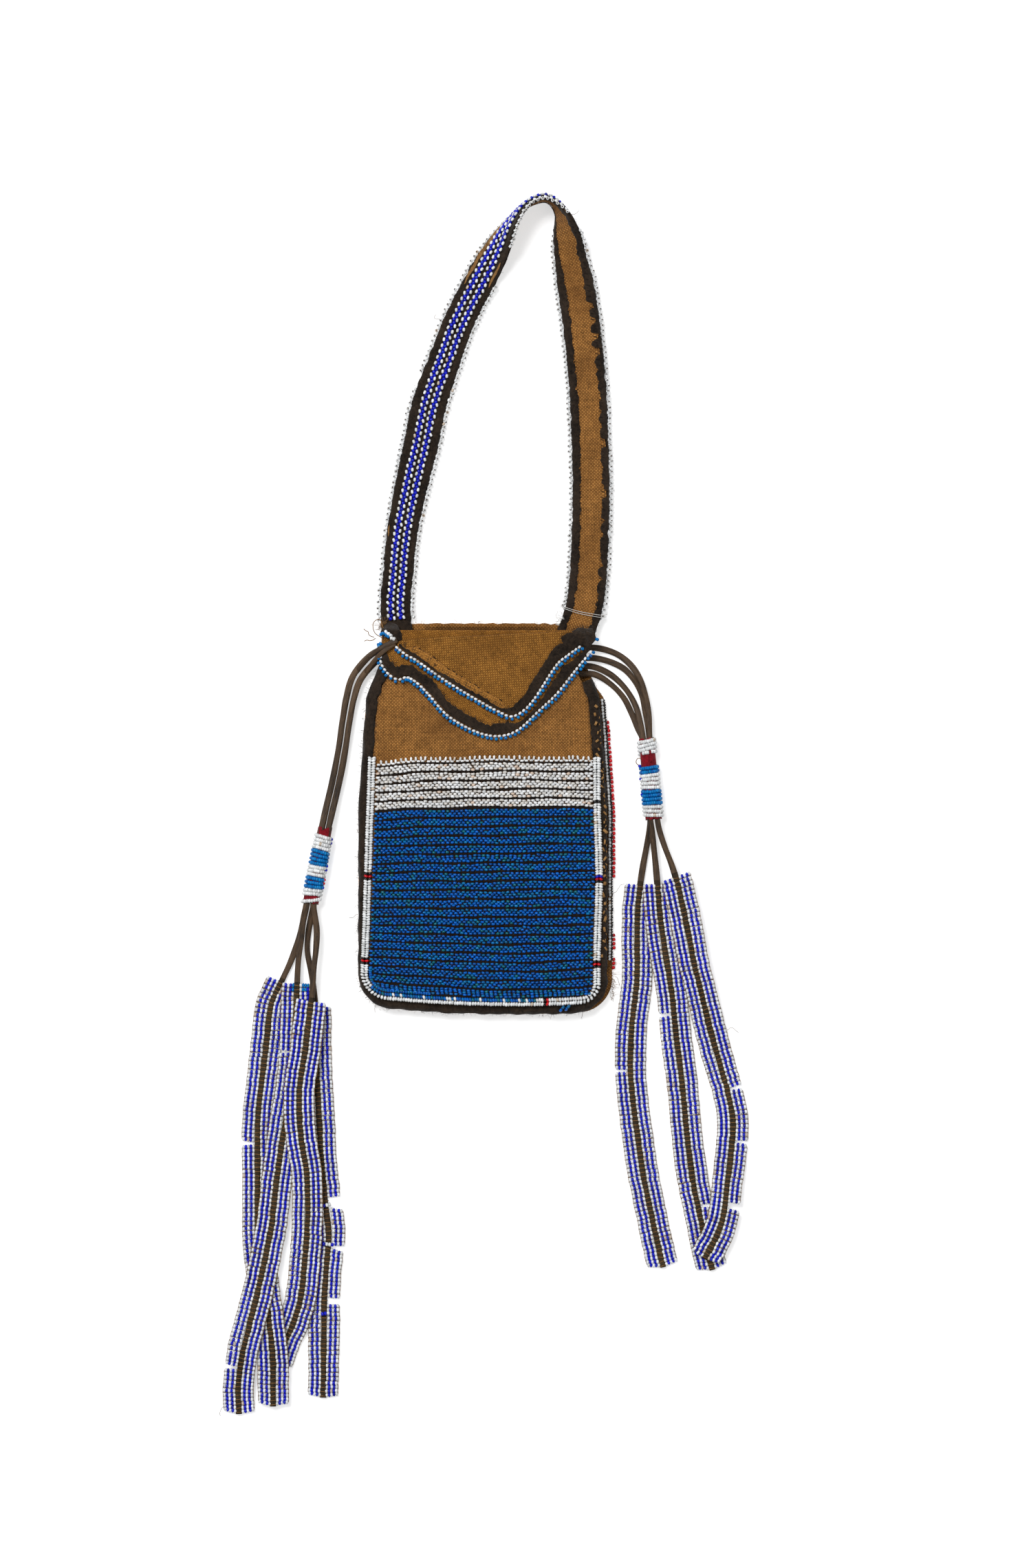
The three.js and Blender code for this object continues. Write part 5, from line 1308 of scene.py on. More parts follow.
def makeGoldenHem():
    run = respace(topLine[5:topTip - 3], goldenHem["stations"])
    length = lengthOf(run)
    along = np.linspace(0, length, len(run))
    ends = np.clip(np.minimum(along, length - along) / goldenHem["taper"], 0.05, 1) ** 0.5
    width = goldenHem["width"] * ends * (1 + ripple(along, 0 * along, 0.08, 9, 74))
    t = np.linspace(0, 1, goldenHem["rows"])
    spots = run[None] - rightOf(run)[None] * (goldenHem["fromEdge"] + t[:, None] * width[None])[..., None]
    base = arch(spots[..., 0]) + topLift + flaps["cloth"] + 0.02
    puff = np.sin(math.pi * (0.1 + 0.8 * t))[:, None] * (1 + ripple(along, 0 * along, 0.3, 4, 75))[None]
    over = np.dstack([spots[..., :2], base + goldenHem["thickness"] + goldenHem["puff"] * puff])
    under = np.dstack([spots[..., :2], base])
    uv = np.dstack(np.broadcast_arrays(along[None], t[:, None] * width[None]))
    return addPiece("golden_hem", closedCloth(over, under, hemCloth, uv), "golden_cloth")


# bead edging: a white line on the edge and blue beads hung outside it
edging = dict(pitch=1.9, whiteOut=0.85, whiteRise=0.95, whiteLength=1.1, whiteRadius=0.9, blueOut=2.0, blueOn=0.6,
              blueRise=0.85, blueLength=1.35, blueRadius=0.8)


def makeFlapBeads(name, line, lift, nodeName, seed):
    r = np.random.default_rng(seed)
    count = int(lengthOf(line) / edging["pitch"])
    path = respace(line, count)
    out, way = rightOf(path), tangents(path)
    base = arch(path[:, 0]) + lift
    white = path + out * edging["whiteOut"] + way * r.normal(0, 0.08, count)[:, None]
    white[:, 2] = base + edging["whiteRise"]
    blue = path + out * (edging["blueOut"] + r.normal(0, 0.12, count))[:, None]
    blue = blue + way * (edging["blueOn"] + r.normal(0, 0.18, count))[:, None]
    blue[:, 2] = base + edging["blueRise"]
    bag = BeadBag()
    bag.add(white, out + way * r.normal(0.25, 0.12, count)[:, None], edging["whiteLength"], edging["whiteRadius"], 0)
    bag.add(blue, way + out * r.normal(0, 0.25, count)[:, None], edging["blueLength"], edging["blueRadius"], 1)
    return addPiece(name, bag.mesh(whiteBeads, edgeBlue), "white_beads", nodeName)


underFlap = makeFlap("under_flap_cloth", underLine, underFold, underLift, underCloth, "brown_cloth", "under_flap",
                     True, 61)
topFlap = makeFlap("top_flap_cloth", topLine, topFold, topLift, goldenCloth, "golden_cloth", "top_flap", False, 62)
underWool = makeFlapBorder("under_flap_wool", underLine, underLift, underBorderWidth, underRoom,
                           "under_flap_border", 63)
topWool = makeFlapBorder("top_flap_wool", topLine, topLift, topBorderWidth, topRoom, "top_flap_border", 65)
# the under flap's beads start up its left end
risingEnd = np.linspace(underFold(underLine[0, 0]) - 1.2, underLine[0, 1], 8)[:-1]
risingEnd = xyz(underLine[0, 0], risingEnd, 0)
makeFlapBeads("under_flap_beads", np.vstack([risingEnd, underLine]), underLift, "under_flap_bead_edge", 67)
makeFlapBeads("top_flap_beads", topLine, topLift, "top_flap_bead_edge", 68)
# black wool turned round the right corner of the mouth, and a torn piece of it on the left one; its lower and upper
# edges, and how it falls from its lift between two heights
cornerWool = dict(
    name="corner_wool", x=(35.4, 51.4), lift=11.9, fall=4.6, fallOver=(83.5, 89.5), endFall=2.2, endFrom=(44, 51),
    low=[(35.4, 82.1), (36.9, 78.4), (43.7, 79.1), (48.4, 78.1), (51.4, 81.6)],
    high=[(35.4, 82.5), (42.8, 86.8), (49.7, 87.2), (51.4, 82.8)])
leftWool = dict(
    name="left_corner_wool", x=(-46.4, -36.7), lift=11.0, fall=6.3, fallOver=(85.2, 89.6), endFall=0, endFrom=(44, 51),
    low=[(-46.4, 83.6), (-42.6, 81.6), (-39.7, 80.0), (-36.7, 81.2)],
    high=[(-46.4, 85.6), (-43.8, 89.6), (-38.8, 88.2), (-36.7, 84.2)])


def cornerHeight(spot, x, y):
    fall = spot["fall"] * smoothStep(y, *spot["fallOver"])
    return spot["lift"] - fall - spot["endFall"] * smoothStep(x, *spot["endFrom"])


def makeCornerWool(spot):
    rows, cols, thickness = 26, 40, 0.8
    x = np.repeat(np.linspace(*spot["x"], cols)[None], rows, 0)
    low = np.interp(x, *zip(*spot["low"])) + ripple(x, 0 * x, 0.35, 4, 77)
    high = np.interp(x, *zip(*spot["high"])) + ripple(x, 0 * x, 0.45, 4, 78)
    y = low + (high - low) * np.linspace(0, 1, rows)[:, None]
    over = xyz(x, y, cornerHeight(spot, x, y) + ripple(x, y, 0.3, 5, 79))
    return addPiece(spot["name"], closedCloth(over, over - [0, 0, thickness], blackWool), "black_wool")


makeGoldenHem()
makeCornerWool(cornerWool)
makeCornerWool(leftWool)
print("flaps made")

# bead lines on the right edge of the back panel: white and black side by side, red outside them; places below the mouth
edgeLines = dict(line=(35, 154), redUpper=(45, 115), redLower=(142.6, 158.4), redLost=(150.2, 154.2))
edgeStrings = dict(
    white=dict(outset=1.05, z=2.5, pitch=1.5, length=1.35, radius=0.7, across=False, beads=whiteBeads),
    black=dict(outset=2.05, z=1.9, pitch=1.1, length=0.95, radius=0.58, across=False, beads=blackBeads),
    red=dict(outset=2.95, z=0.99, pitch=1.9, length=1.5, radius=0.93, across=True, beads=redBeads))


def makeEdgeLine(name, span, strings, slotName, nodeName, seed, lost=(0, 0)):
    r = np.random.default_rng(seed)
    bag = BeadBag()
    for slot, string in enumerate(strings):
        y = mouth - np.linspace(*span, 80)
        line = xyz(halfAt(y) + string["outset"], y, string["z"])
        line = respace(line, int((span[1] - span[0]) / string["pitch"]) + 1)
        line = line[(mouth - line[:, 1] < lost[0]) | (mouth - line[:, 1] > lost[1])]
        axis = rightOf(line) if string["across"] else tangents(line)
        bag.add(line + r.normal(0, 0.08, line.shape) * [1, 1, 0.4], axis + r.normal(0, 0.15, line.shape),
                string["length"], string["radius"] * r.uniform(0.93, 1.06, len(line)), slot)
    addPiece(name, bowFoot(bag.mesh(*(string["beads"] for string in strings))), slotName, nodeName)


makeEdgeLine("edge_beads", edgeLines["line"], [edgeStrings["white"], edgeStrings["black"]], "white_beads",
             "back_edge_bead_line", 71)
makeEdgeLine("red_bead_line_upper_beads", edgeLines["redUpper"], [edgeStrings["red"]], "red_beads",
             "red_bead_line_upper", 72)
makeEdgeLine("red_bead_line_lower_beads", edgeLines["redLower"], [edgeStrings["red"]], "red_beads",
             "red_bead_line_lower", 73, edgeLines["redLost"])
print("edge lines made")

# strap: beaded face up on the left leg, on its edge at the top, lining up on the right leg; places as x and rise
# above the mouth
strap = dict(
    facing=13.6, facingCloth=1.0, lining=10.4, liningCloth=0.8, lineOffset=2.25, lineHeight=1.4, edgeBead=1.7, dish=0.3,
    swell=1.1, swellAt=98.0, swellReach=32.0, flare=1.5, flareAfter=24.0, flareRun=22.0, flareInner=5.0, seat=7.0,
    footLeft=7.3, footRight=4.6, turnBefore=56.0, turnAfter=34.0, seatRun=28.0, setback=12.0, lineAhead=2.6, seam=0.3,
    floorGap=0.05, stations=900, clothRows=300, clothCols=11,
    leftLeg=[(-39.8, 8.5), (-38.7, 22), (-37, 40), (-32.7, 62.6), (-28.1, 82.3), (-24.5, 99.8), (-17.5, 120),
             (-10.9, 137.6), (-2.4, 154.4), (5.7, 168.5), (14, 182.5)],
    top=[(21.6, 190.4), (29, 192.4), (34.6, 187.5)],
    rightLeg=[(37.6, 178.5), (40, 166), (42.5, 152.6), (45.6, 130), (47.8, 106.3), (48.6, 88), (49.3, 64.4), (49, 44.4),
              (47.8, 20.4), (46, 7)])


# the strap's middle line, with its directions across and out of its beaded face
def strapFrame():
    half = float(halfAt(mouth))
    pairs = strap["leftLeg"] + strap["top"] + strap["rightLeg"]
    points = [(-half + strap["footLeft"], mouth - strap["seat"], 0), *((x, mouth + up, 0) for x, up in pairs),
              (half - strap["footRight"], mouth - strap["seat"], 0)]
    path = smoothRoute(points, strap["stations"])
    length = lengthOf(path)
    run = np.linspace(0, length, len(path))
    topAt = run[np.argmax(path[:, 1])]
    turn = smoothStep(run, topAt - strap["turnBefore"], topAt) + smoothStep(run, topAt, topAt + strap["turnAfter"])
    angle = turn * math.pi / 2
    right = rightOf(path)
    up = np.array([0, 0, 1.0])
    across = right * np.cos(angle)[:, None] + up * np.sin(angle)[:, None]
    face = -right * np.sin(angle)[:, None] + up * np.cos(angle)[:, None]
    # its height, so that the lowest of edge, lining and beads lies on the floor, or on the back cloth at the feet
    halfWide = strap["facing"] / 2 + strap["seam"] + strap["edgeBead"]
    beadFace = strap["facingCloth"] + strap["seam"] + strap["lineHeight"] + strap["dish"]
    side = np.where(np.cos(angle) > 0, strap["seam"] + strap["liningCloth"], beadFace)
    ground = halfWide * np.abs(np.sin(angle)) + side * np.abs(np.cos(angle))
    climb = smoothStep(np.minimum(run, length - run), strap["setback"], strap["seatRun"])
    path[:, 2] = strap["floorGap"] + ground + (pouch["backCloth"] + pouch["seam"]) * (1 - climb)
    return dict(path=path, across=across, face=face, run=run, length=length, topAt=topAt)


strapForm = strapFrame()


# places on the strap: along it, across it and out of its face, with the two directions there
def onStrap(at, s, h):
    run = strapForm["run"]
    dished = h + strap["dish"] * (s / (strap["facing"] / 2)) ** 2
    flareFrom = strapForm["topAt"] + strap["flareAfter"]  # the right leg's edges lie wider, and the left's in one place
    flare = strap["flare"] * smoothStep(at, flareFrom, flareFrom + strap["flareRun"])
    flare = flare + strap["swell"] * np.exp(-((at - strap["swellAt"]) / strap["swellReach"]) ** 2)
    s = s + np.sign(s) * flare * smoothStep(np.abs(s), strap["flareInner"], strap["facing"] / 2)
    across, face = unit(pick(at, run, strapForm["across"])), unit(pick(at, run, strapForm["face"]))
    spot = pick(at, run, strapForm["path"]) + across * np.reshape(s, (-1, 1)) + face * np.reshape(dished, (-1, 1))
    return spot, across, face


def makeStrapCloth(name, half, low, high, material, slotName, nodeName, ragged, seed):
    at = np.linspace(0, strapForm["length"], strap["clothRows"])
    over, under, uv = [], [], []
    for value in np.linspace(-half, half, strap["clothCols"]):
        line = np.full(len(at), value)
        rag = ragged * ripple(at, line, 1, 5, seed) if abs(value) == half else 0 * at
        width = value + np.sign(value) * rag
        wave = np.minimum(0.1 * ripple(at, line, 1, 18, seed + 1), 0.1)
        over.append(onStrap(at, width, high + wave)[0])
        under.append(onStrap(at, width, low + wave)[0])
        uv.append(np.stack([line, at], -1))
    return addPiece(name, closedCloth(over, under, material, uv), slotName, nodeName)


# the wool's edges, turned over the lining and hemmed there; on the right leg the outer one is torn at some heights
hems = dict(
    inner=(-4.5, 4.8), under=0.8, low=-1.1, high=-0.8, scallop=0.35, stitch=2.6, wander=0.55, wide=1.2,
    wideOver=(190, 235), tears=(233, 226.5, 219, 212.5, 171, 148), tearReach=1.7, tearDepth=2.3, seeds=(91, 92),
    stations=700)


def strapRibbon(at, inner, outer, low, high):
    section = ((0, low + 0.1), (0.15, low), (0.6, low), (1, low + 0.15), (1, high), (0, high))
    rings = [onStrap(at, inner + (outer - inner) * t, h + 0 * at)[0] for t, h in section]
    return np.array(rings).transpose(1, 0, 2).reshape(-1, 3), gridFaces(len(at), len(section), True)


def makeHem():
    at = np.linspace(0, strapForm["length"], hems["stations"])
    height = np.interp(at, strapForm["run"], strapForm["path"][:, 1])
    shapes = []
    for inner, seed in zip(hems["inner"], hems["seeds"]):
        sign = np.sign(inner)
        edge = abs(inner) + hems["scallop"] * np.abs(np.sin(math.pi * at / hems["stitch"]))
        edge += ripple(at, 0 * at, hems["wander"], 8, seed) + ripple(at, 0 * at, 0.25, 2.5, seed + 7)
        if sign > 0:
            edge -= hems["wide"] * smoothStep(height, *hems["wideOver"])
            for tear in hems["tears"]:
                torn = np.exp(-((height - tear) / hems["tearReach"]) ** 4) * (at > strapForm["topAt"])
                edge += hems["tearDepth"] * torn
        rim = strap["facing"] / 2 + ripple(at, 0 * at, 0.2, 5, seed + 2)
        edge = np.minimum(edge, rim - 0.3)
        shapes.append(strapRibbon(at, sign * edge, sign * rim, hems["low"], hems["high"]))
    return addShapes("strap_hem", shapes, blackWool, "black_wool")


# bead lines: a cobalt zigzag, with white beads on either side of it by turns
strapLines = dict(seat=0.15, pitch=1.42, zigzag=0.3, rise=0.75, length=1.38, radius=0.83, whiteStart=(1.52, 0.1),
                  whitePitch=2.84, whiteOut=1.2, whiteRise=0.74, whiteLength=1.7, whiteRadius=0.66, whiteLean=-0.2)
# edge chain: ring beads that show their holes, linked by lying beads
strapChain = dict(pitch=1.22, rise=0.5, ringOut=1.2, linkOut=0.5, ringLength=0.9, linkLength=1.4, ringRadius=0.82,
                  linkRadius=0.64, core=0.26, coreHalf=0.42)
# beads lost from the edges: side (1 is the inner edge of the left leg), heights between which they are gone, and leg
edgeLosses = [(1, 243.4, 258.8, "up"), (-1, 196, 203, "up"), (1, 268.0, 275.0, "down")]


def makeStrapBeads():
    r = np.random.default_rng(81)
    start, end = strap["setback"] - strap["lineAhead"], strapForm["length"] - strap["setback"]
    base = strap["facingCloth"] + strapLines["seat"]

    def place(at, s, h):
        spot, across, face = onStrap(at, s, h + 0 * at)
        return spot, across, unit(np.cross(face, across)), face

    for sign, label in ((-1, "left"), (1, "right")):
        bag = BeadBag()
        centre = sign * strap["lineOffset"]
        at = np.arange(start, end, strapLines["pitch"])
        zigzag = np.where(np.arange(len(at)) % 2, 1, -1) * strapLines["zigzag"]
        spot, across, way, face = place(at, centre + zigzag + r.normal(0, 0.06, len(at)), base + strapLines["rise"])
        bag.add(spot, way + across * r.normal(0, 0.2, len(at))[:, None], strapLines["length"], strapLines["radius"], 1)
        for edge, first in zip((-1, 1), strapLines["whiteStart"]):
            at = np.arange(start + first, end, strapLines["whitePitch"]) + r.normal(0, 0.1)
            s = centre + edge * strapLines["whiteOut"] + r.normal(0, 0.1, len(at))
            spot, across, way, face = place(at, s, base + strapLines["whiteRise"])
            bag.add(spot, way + across * r.normal(strapLines["whiteLean"], 0.18, len(at))[:, None],
                    strapLines["whiteLength"], strapLines["whiteRadius"], 0)
        addPiece("strap_line_" + label, bag.mesh(whiteBeads, cobaltBeads), "cobalt_beads", "strap_bead_line_" + label)

        bag = BeadBag()
        at = np.arange(start, end, strapChain["pitch"])
        spot, across, way, face = place(at, sign * strap["facing"] / 2 + 0 * at, strapChain["rise"])
        keep = np.ones(len(at), bool)
        for side, low, high, leg in edgeLosses:
            onLeg = (at < strapForm["topAt"]) == (leg == "up")
            keep &= ~((side == sign) & onLeg & (spot[:, 1] > low) & (spot[:, 1] < high))
        rings = np.arange(len(at)) % 2 == 0
        out = np.where(rings, strapChain["ringOut"], strapChain["linkOut"]) + r.normal(0, 0.12, len(at))
        flop = np.clip(sign * across[:, 2], 0, 1)[:, None]  # at the top the chain falls over to the arch's inside
        spot = spot + (across * sign * (1 - flop / 2) - face * flop) * out[:, None]
        tilt = face * (1 - flop) + flop * [0, 0, 1] + r.normal(0, 0.25, (len(at), 3))
        axis = np.where(rings[:, None], tilt, way + r.normal(0, 0.2, (len(at), 3)))
        long = np.where(rings, strapChain["ringLength"], strapChain["linkLength"])
        size = np.where(rings, strapChain["ringRadius"], strapChain["linkRadius"])
        bag.add(spot[keep], axis[keep], long[keep], size[keep])
        addPiece("strap_edge_" + label, bag.mesh(whiteBeads), "white_beads", "strap_bead_edge_" + label)
        reach = axis * strapChain["coreHalf"]
        cores = [thread([spot[i] - reach[i], spot[i] + reach[i]], strapChain["core"], 5)
                 for i in np.flatnonzero(keep & rings)]
        addShapes("strap_edge_thread_" + label, cores, rowThread, "black_wool")


# brown cloth that shows where the wool is worn through: between two heights on the left leg, across from and to
wornSpots = [dict(low=241, high=278, across=(-6.4, -4.5)), dict(low=244.5, high=255, across=(4.7, 5.9)),
             dict(low=128, high=133, across=(-6.3, -5.7))]
wornCloth = dict(stations=60, rise=0.12, thickness=0.25)


def makeWornSpots():
    run, count = strapForm["run"], wornCloth["stations"]
    onLeft = run < strapForm["topAt"]
    height = strapForm["path"][:, 1][onLeft]
    shapes = []
    for k, spot in enumerate(wornSpots):
        first, last = (run[np.argmin(np.abs(height - spot[key]))] for key in ("low", "high"))
        at = np.linspace(first, last, count)
        swell = np.sqrt(np.sin(math.pi * np.linspace(0.002, 0.998, count)))
        inner, outer = spot["across"]
        middle = (inner + outer) / 2 + ripple(at, 0 * at, 0.25, 8, 95 + k)
        half = (outer - inner) / 2 * swell * (1 + ripple(at, 0 * at, 0.25, 4, 97 + k))
        top = strap["facingCloth"] + wornCloth["rise"]
        shapes.append(strapRibbon(at, middle - half, middle + half, top, top - wornCloth["thickness"]))
    return addShapes("strap_worn_cloth", shapes, brownThread, "brown_cloth")


facing = makeStrapCloth("strap_facing_cloth", strap["facing"] / 2, 0, strap["facingCloth"], blackWool, "black_wool",
                        "strap_facing", 0.3, 83)
lining = makeStrapCloth("strap_lining_cloth", strap["lining"] / 2 + hems["under"], hems["high"] - 0.05, -0.15,
                        brownCloth, "brown_cloth", "strap_lining", 0.25, 85)
makeHem()
makeWornSpots()
makeStrapBeads()
print("strap made")


# sewing and loose fibres
def sew(name, lines, radius, material, slotName, bowed=False):
    radii = np.broadcast_to(radius, len(lines))
    addShapes(name, [thread(line, size) for line, size in zip(lines, radii)], material, slotName, bowed)


# short hairs that stand out from an edge: how many, how long, how thick, and their seed
hairs = dict(
    gusset_fuzz_0=(420, 1.3, 0.06, 101), gusset_fuzz_1=(420, 1.3, 0.06, 102), gusset_lip_fuzz=(260, 1.3, 0.07, 103),
    strap_fuzz_0=(200, 1.7, 0.07, 111), strap_fuzz_1=(200, 1.7, 0.07, 112),
    flap_fuzz_0=(260, 1.6, 0.08, 121), flap_fuzz_1=(260, 1.6, 0.08, 122), mouth_fray=(45, 1.6, 0.08, 131),
    corner_fray=(110, 2.2, 0.08, 132), left_corner_fray=(60, 3.2, 0.09, 134), corner_wool_fuzz=(150, 1.5, 0.08, 133))


def fuzz(name, roots, out, bowed=False):
    count, reach, radius, seed = hairs[name]
    r = np.random.default_rng(seed)
    out = np.broadcast_to(out, roots.shape)
    lines = []
    for i in r.integers(0, len(roots), count):
        length = reach * r.uniform(0.25, 1) ** 1.5
        way = unit(out[i] + r.normal(0, 0.7, 3) * [1, 1, 0.3])
        bend = r.normal(0, 0.5, 3) * [1, 1, 0.4]
        t = np.linspace(0, 1, 4)[:, None]
        line = roots[i] + r.normal(0, 0.3, 3) + (way * t + bend * t**2) * length
        line[:, 2] = np.maximum(line[:, 2], 0.15)
        lines.append(line)
    material, slotName = (brownThread, "brown_cloth") if name.endswith("fray") else (blackWool, "black_wool")
    addShapes(name, [thread(line, radius, 3) for line in lines], material, slotName, bowed)


# a thread end that curls away
def curl(start, heading, length, seed, wander=0.9, count=14):
    r = np.random.default_rng(seed)
    turn = math.radians(heading) + np.cumsum(r.normal(0, wander / 3, count))
    flat = np.cumsum(np.stack([np.cos(turn), np.sin(turn)], -1) * (length / count), 0)
    rise = 0.5 * np.abs(np.sin(np.linspace(0, 3, count) + seed))
    return smoothRoute(np.column_stack([flat + start[:2], start[2] + rise]), 24)


def makeFuzz():
    line = respace(gussetPath(0), 500)
    for k, height in enumerate((frontTop - 0.6, 3.5)):
        fuzz("gusset_fuzz_%d" % k, line + [0, 0, height], rightOf(line), True)
    lip = respace(gussetPath(5.0), 400)
    fuzz("gusset_lip_fuzz", lip + [0, 0, frontTop + 0.3], -rightOf(lip), True)
    at = np.linspace(4, strapForm["length"] - 4, 500)
    for k, sign in enumerate((-1, 1)):
        spot, across = onStrap(at, sign * strap["facing"] / 2 + 0 * at, 0.5 + 0 * at)[:2]
        fuzz("strap_fuzz_%d" % k, spot, across * sign)
    for k, (edge, lift, inset) in enumerate(((underLine, underLift, 4.2), (topLine, topLift, 2.0))):
        inner = edge - rightOf(edge) * inset
        inner[:, 2] = arch(inner[:, 0]) + lift + 1.5
        fuzz("flap_fuzz_%d" % k, inner, -rightOf(edge))
    fuzz("mouth_fray", xyz(np.linspace(-32, 32, 200), mouth, 6.0), [0, 1.0, 0.2])
    fuzz("corner_fray", xyz(halfAt(0) + 2.0, np.linspace(-64, -84, 60), 1.0), [1.0, -0.4, 0.1], True)
    torn = xyz(np.linspace(-46.4, -43.6, 30), np.linspace(86.4, 89.8, 30), np.linspace(7.6, 5.0, 30))
    fuzz("left_corner_fray", torn, [-1.0, 0.2, 0.1])
    rim = np.vstack([respace([(x, y, 0) for x, y in cornerWool[key]], 60) for key in ("low", "high")])
    rim[:, 2] = cornerHeight(cornerWool, rim[:, 0], rim[:, 1]) - 0.4
    fuzz("corner_wool_fuzz", rim, np.repeat([[0, -1.0, 0.1], [0, 1.0, 0.1]], 60, 0))


# whip stitches up the right gusset and a second row outside them (from, to and pitch), dark stitches of the golden
# hem, and whip stitches on the strap's turned edges
stitches = dict(ladder=(52, -66, -4.1), dashes=(46, -60, -2.9), dash=0.25, hemInset=4.4, hemEvery=9, hemShare=0.75,
                hemThread=0.3, strapFrom=0.55, strapThread=0.16)


def makeStitches():
    r = np.random.default_rng(141)
    lines = []
    for y in np.arange(*stitches["ladder"]):
        y = y + r.normal(0, 0.7)
        x = halfAt(y) - (2.5 if y > fieldTop + 3 else 1.4) + r.normal(0, 0.35)
        turn, reach = r.uniform(-0.9, 0.9), r.uniform(0.5, 1.2)
        step = np.array([math.sin(turn), math.cos(turn), 0]) * reach
        spot = np.array([x, y, frontTop + 0.15])
        lines.append([spot - step, spot + [0, 0, 0.25], spot + step])
    sew("gusset_whip_stitches", lines, r.uniform(0.45, 0.85, len(lines)), tanThread, "brown_cloth", True)
    lines = []
    for y in np.arange(*stitches["dashes"]):
        x = halfAt(y) - 0.9 + r.normal(0, 0.25)
        lines.append([(x, y + 0.6, frontTop - 0.6), (x + r.normal(0, 0.3), y - 0.4, frontTop - 0.5)])
    sew("gusset_running_stitches", lines, stitches["dash"], tanThread, "brown_cloth", True)
    run = respace(topLine[6:topTip - 6], 200)
    inner = run - rightOf(run) * stitches["hemInset"]
    inner[:, 2] = arch(inner[:, 0]) + topLift + flaps["cloth"] + 0.12
    lines = []
    for i in range(0, len(inner) - 6, stitches["hemEvery"]):
        if r.random() < stitches["hemShare"]:
            lines.append(inner[[i, i + 2, i + int(r.integers(3, 6))]] + r.normal(0, 0.25, (1, 3)) * [1, 1, 0])
    sew("golden_hem_stitches", lines, stitches["hemThread"], darkThread, "golden_cloth")
    lines = []
    for at in np.arange(strapForm["length"] * stitches["strapFrom"], strapForm["length"] - 8, hems["stitch"]):
        for inner in hems["inner"]:
            s = inner + np.array([-0.1, 0.9]) * np.sign(inner)
            lines.append(onStrap(np.array([at, at + 0.6]), s, np.full(2, hems["low"] - 0.1))[0])
    sew("strap_whip_stitches", lines, stitches["strapThread"], darkThread, "brown_cloth")


# knot of beads and thread at the left corner of the mouth, and the white thread tied round the right leg, which is
# given by its places along, across and out of the strap
knots = dict(
    blue=[(-46.1, 83.9, 11.4), (-45, 84.3, 11.8), (-44.1, 83.5, 11.8), (-42.9, 82.9, 11.8), (-46.4, 79.5, 10.9),
          (-47, 78.4, 10.4)],
    white=[(-43.9, 84.9, 11.8), (-42.9, 84, 11.8), (-41.8, 83.2, 11.8), (-41.5, 82.1, 11.8), (-40.3, 81.7, 12.2)],
    beadLength=1.35, beadRadius=1.0, stray=(51.9, 81.6, 9.5), strayLength=1.4, strayRadius=0.95,
    loop=[(-45.6, 82.2, 9), (-49.1, 84.7, 9.4), (-49.7, 89.1, 9), (-46.9, 90.9, 8), (-45, 86.2, 9)],
    tails=[((-48.9, 82.8, 8.8), 170, 7), ((-48.2, 82, 8.9), 200, 6)],
    sleeveLoop=[(71.9, 27.7, 5), (70.4, 27.5, 5.4), (69.7, 26, 5.2), (70.4, 24.8, 5), (71.7, 24.5, 5)],
    brown=0.24, pale=0.16, loose=0.12, tuft=(37.5, 91.2, 4.6), tuftHairs=9, tieFrom=13.4, tieStep=0.9,
    tieAlong=(0, 0.6, 0.8, 0.4, -0.2, -1), tieAcross=(-9.2, -6.5, -2, 3, 7, 9.4),
    tieOut=(0.2, -1.5, -1.55, -1.55, -1.5, 0.2), secondOut=(0.3, -1.7, -1.6, -1.65, -1.6, 0.3))
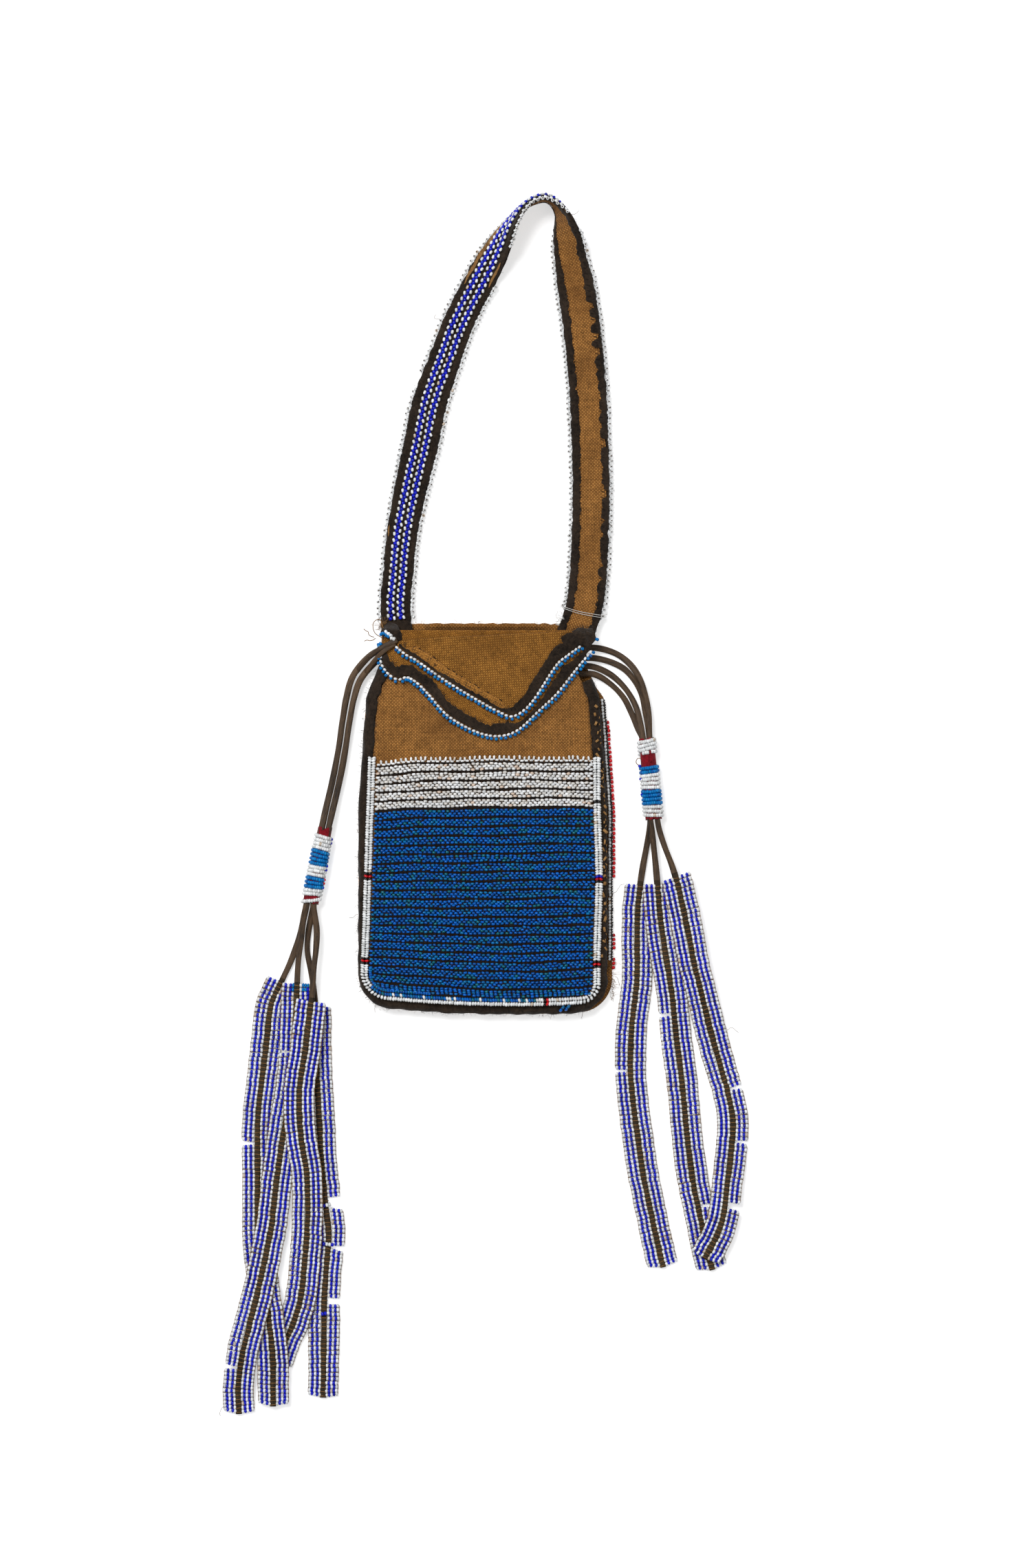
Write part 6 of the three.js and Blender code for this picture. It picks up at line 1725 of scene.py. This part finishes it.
# loose ends: start, heading in degrees and length
looseEnds = [
    ((-56.6, -4.4, 0.9), 200, 4), ((-56.6, -43.4, 0.9), 175, 5), ((-48.5, -84.5, 0.9), 250, 4),
    ((45.2, -87.3, 1.1), 280, 4), ((59.5, -71.6, 1), 330, 6), ((65.2, -29.8, 2), 165, 9), ((110.8, -96.5, 2.3), 30, 7),
    ((-116.8, -266.4, 1), 230, 7), ((-19.3, 227.8, 2.4), 190, 5), ((1, 258.8, 5.3), 120, 5), ((39.6, 274, 9.8), 30, 5),
    ((56.8, 183.1, 2.6), 250, 5),
]


def curls(ends, seed):
    return [curl(np.array(at), heading, length, seed + k) for k, (at, heading, length) in enumerate(ends)]


def makeKnots():
    r = np.random.default_rng(151)
    bag = BeadBag()
    for colour, key in enumerate(("white", "blue")):
        spots = np.array(knots[key])
        bag.add(spots, r.normal(0, 1, spots.shape) * [1, 1, 0.5], knots["beadLength"], knots["beadRadius"], colour)
    bag.add(np.array(knots["stray"]), [0.3, 1, 0], knots["strayLength"], knots["strayRadius"], 1)
    addPiece("corner_knot_beads", bag.mesh(whiteBeads, edgeBlue), "blue_beads")
    loops = [smoothRoute(knots[key], 30) for key in ("loop", "sleeveLoop")]
    sew("corner_knot_thread", [*loops, *curls(knots["tails"], 3)], knots["brown"], brownThread, "brown_cloth")
    along, across, *outs = (np.array(knots[key]) for key in ("tieAlong", "tieAcross", "tieOut", "secondOut"))
    along = strapForm["length"] - knots["tieFrom"] + along
    ties = [smoothRoute(onStrap(along + k * knots["tieStep"], across, out)[0], 40) for k, out in enumerate(outs)]
    start = np.array(knots["tuft"])
    tuft = [curl(start + r.normal(0, 0.6, 3), 150 + 60 * r.random(), 5 + 4 * r.random(), 160 + k, 1.6)
            for k in range(knots["tuftHairs"])]
    sew("white_tie", [*ties, *tuft], knots["pale"], paleThread, "white_beads")
    sew("loose_ends", curls(looseEnds, 170), knots["loose"], rowThread, "brown_cloth")


makeFuzz()
makeStitches()
makeKnots()
print("sewing and loose threads made")

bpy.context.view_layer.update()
faces = {o.name: len(o.data.polygons) * 2 for o in scene.objects if o.type == "MESH" and not o.hide_render}
print("triangles about", sum(faces.values()), "most", max(faces.items(), key=lambda f: f[1]))
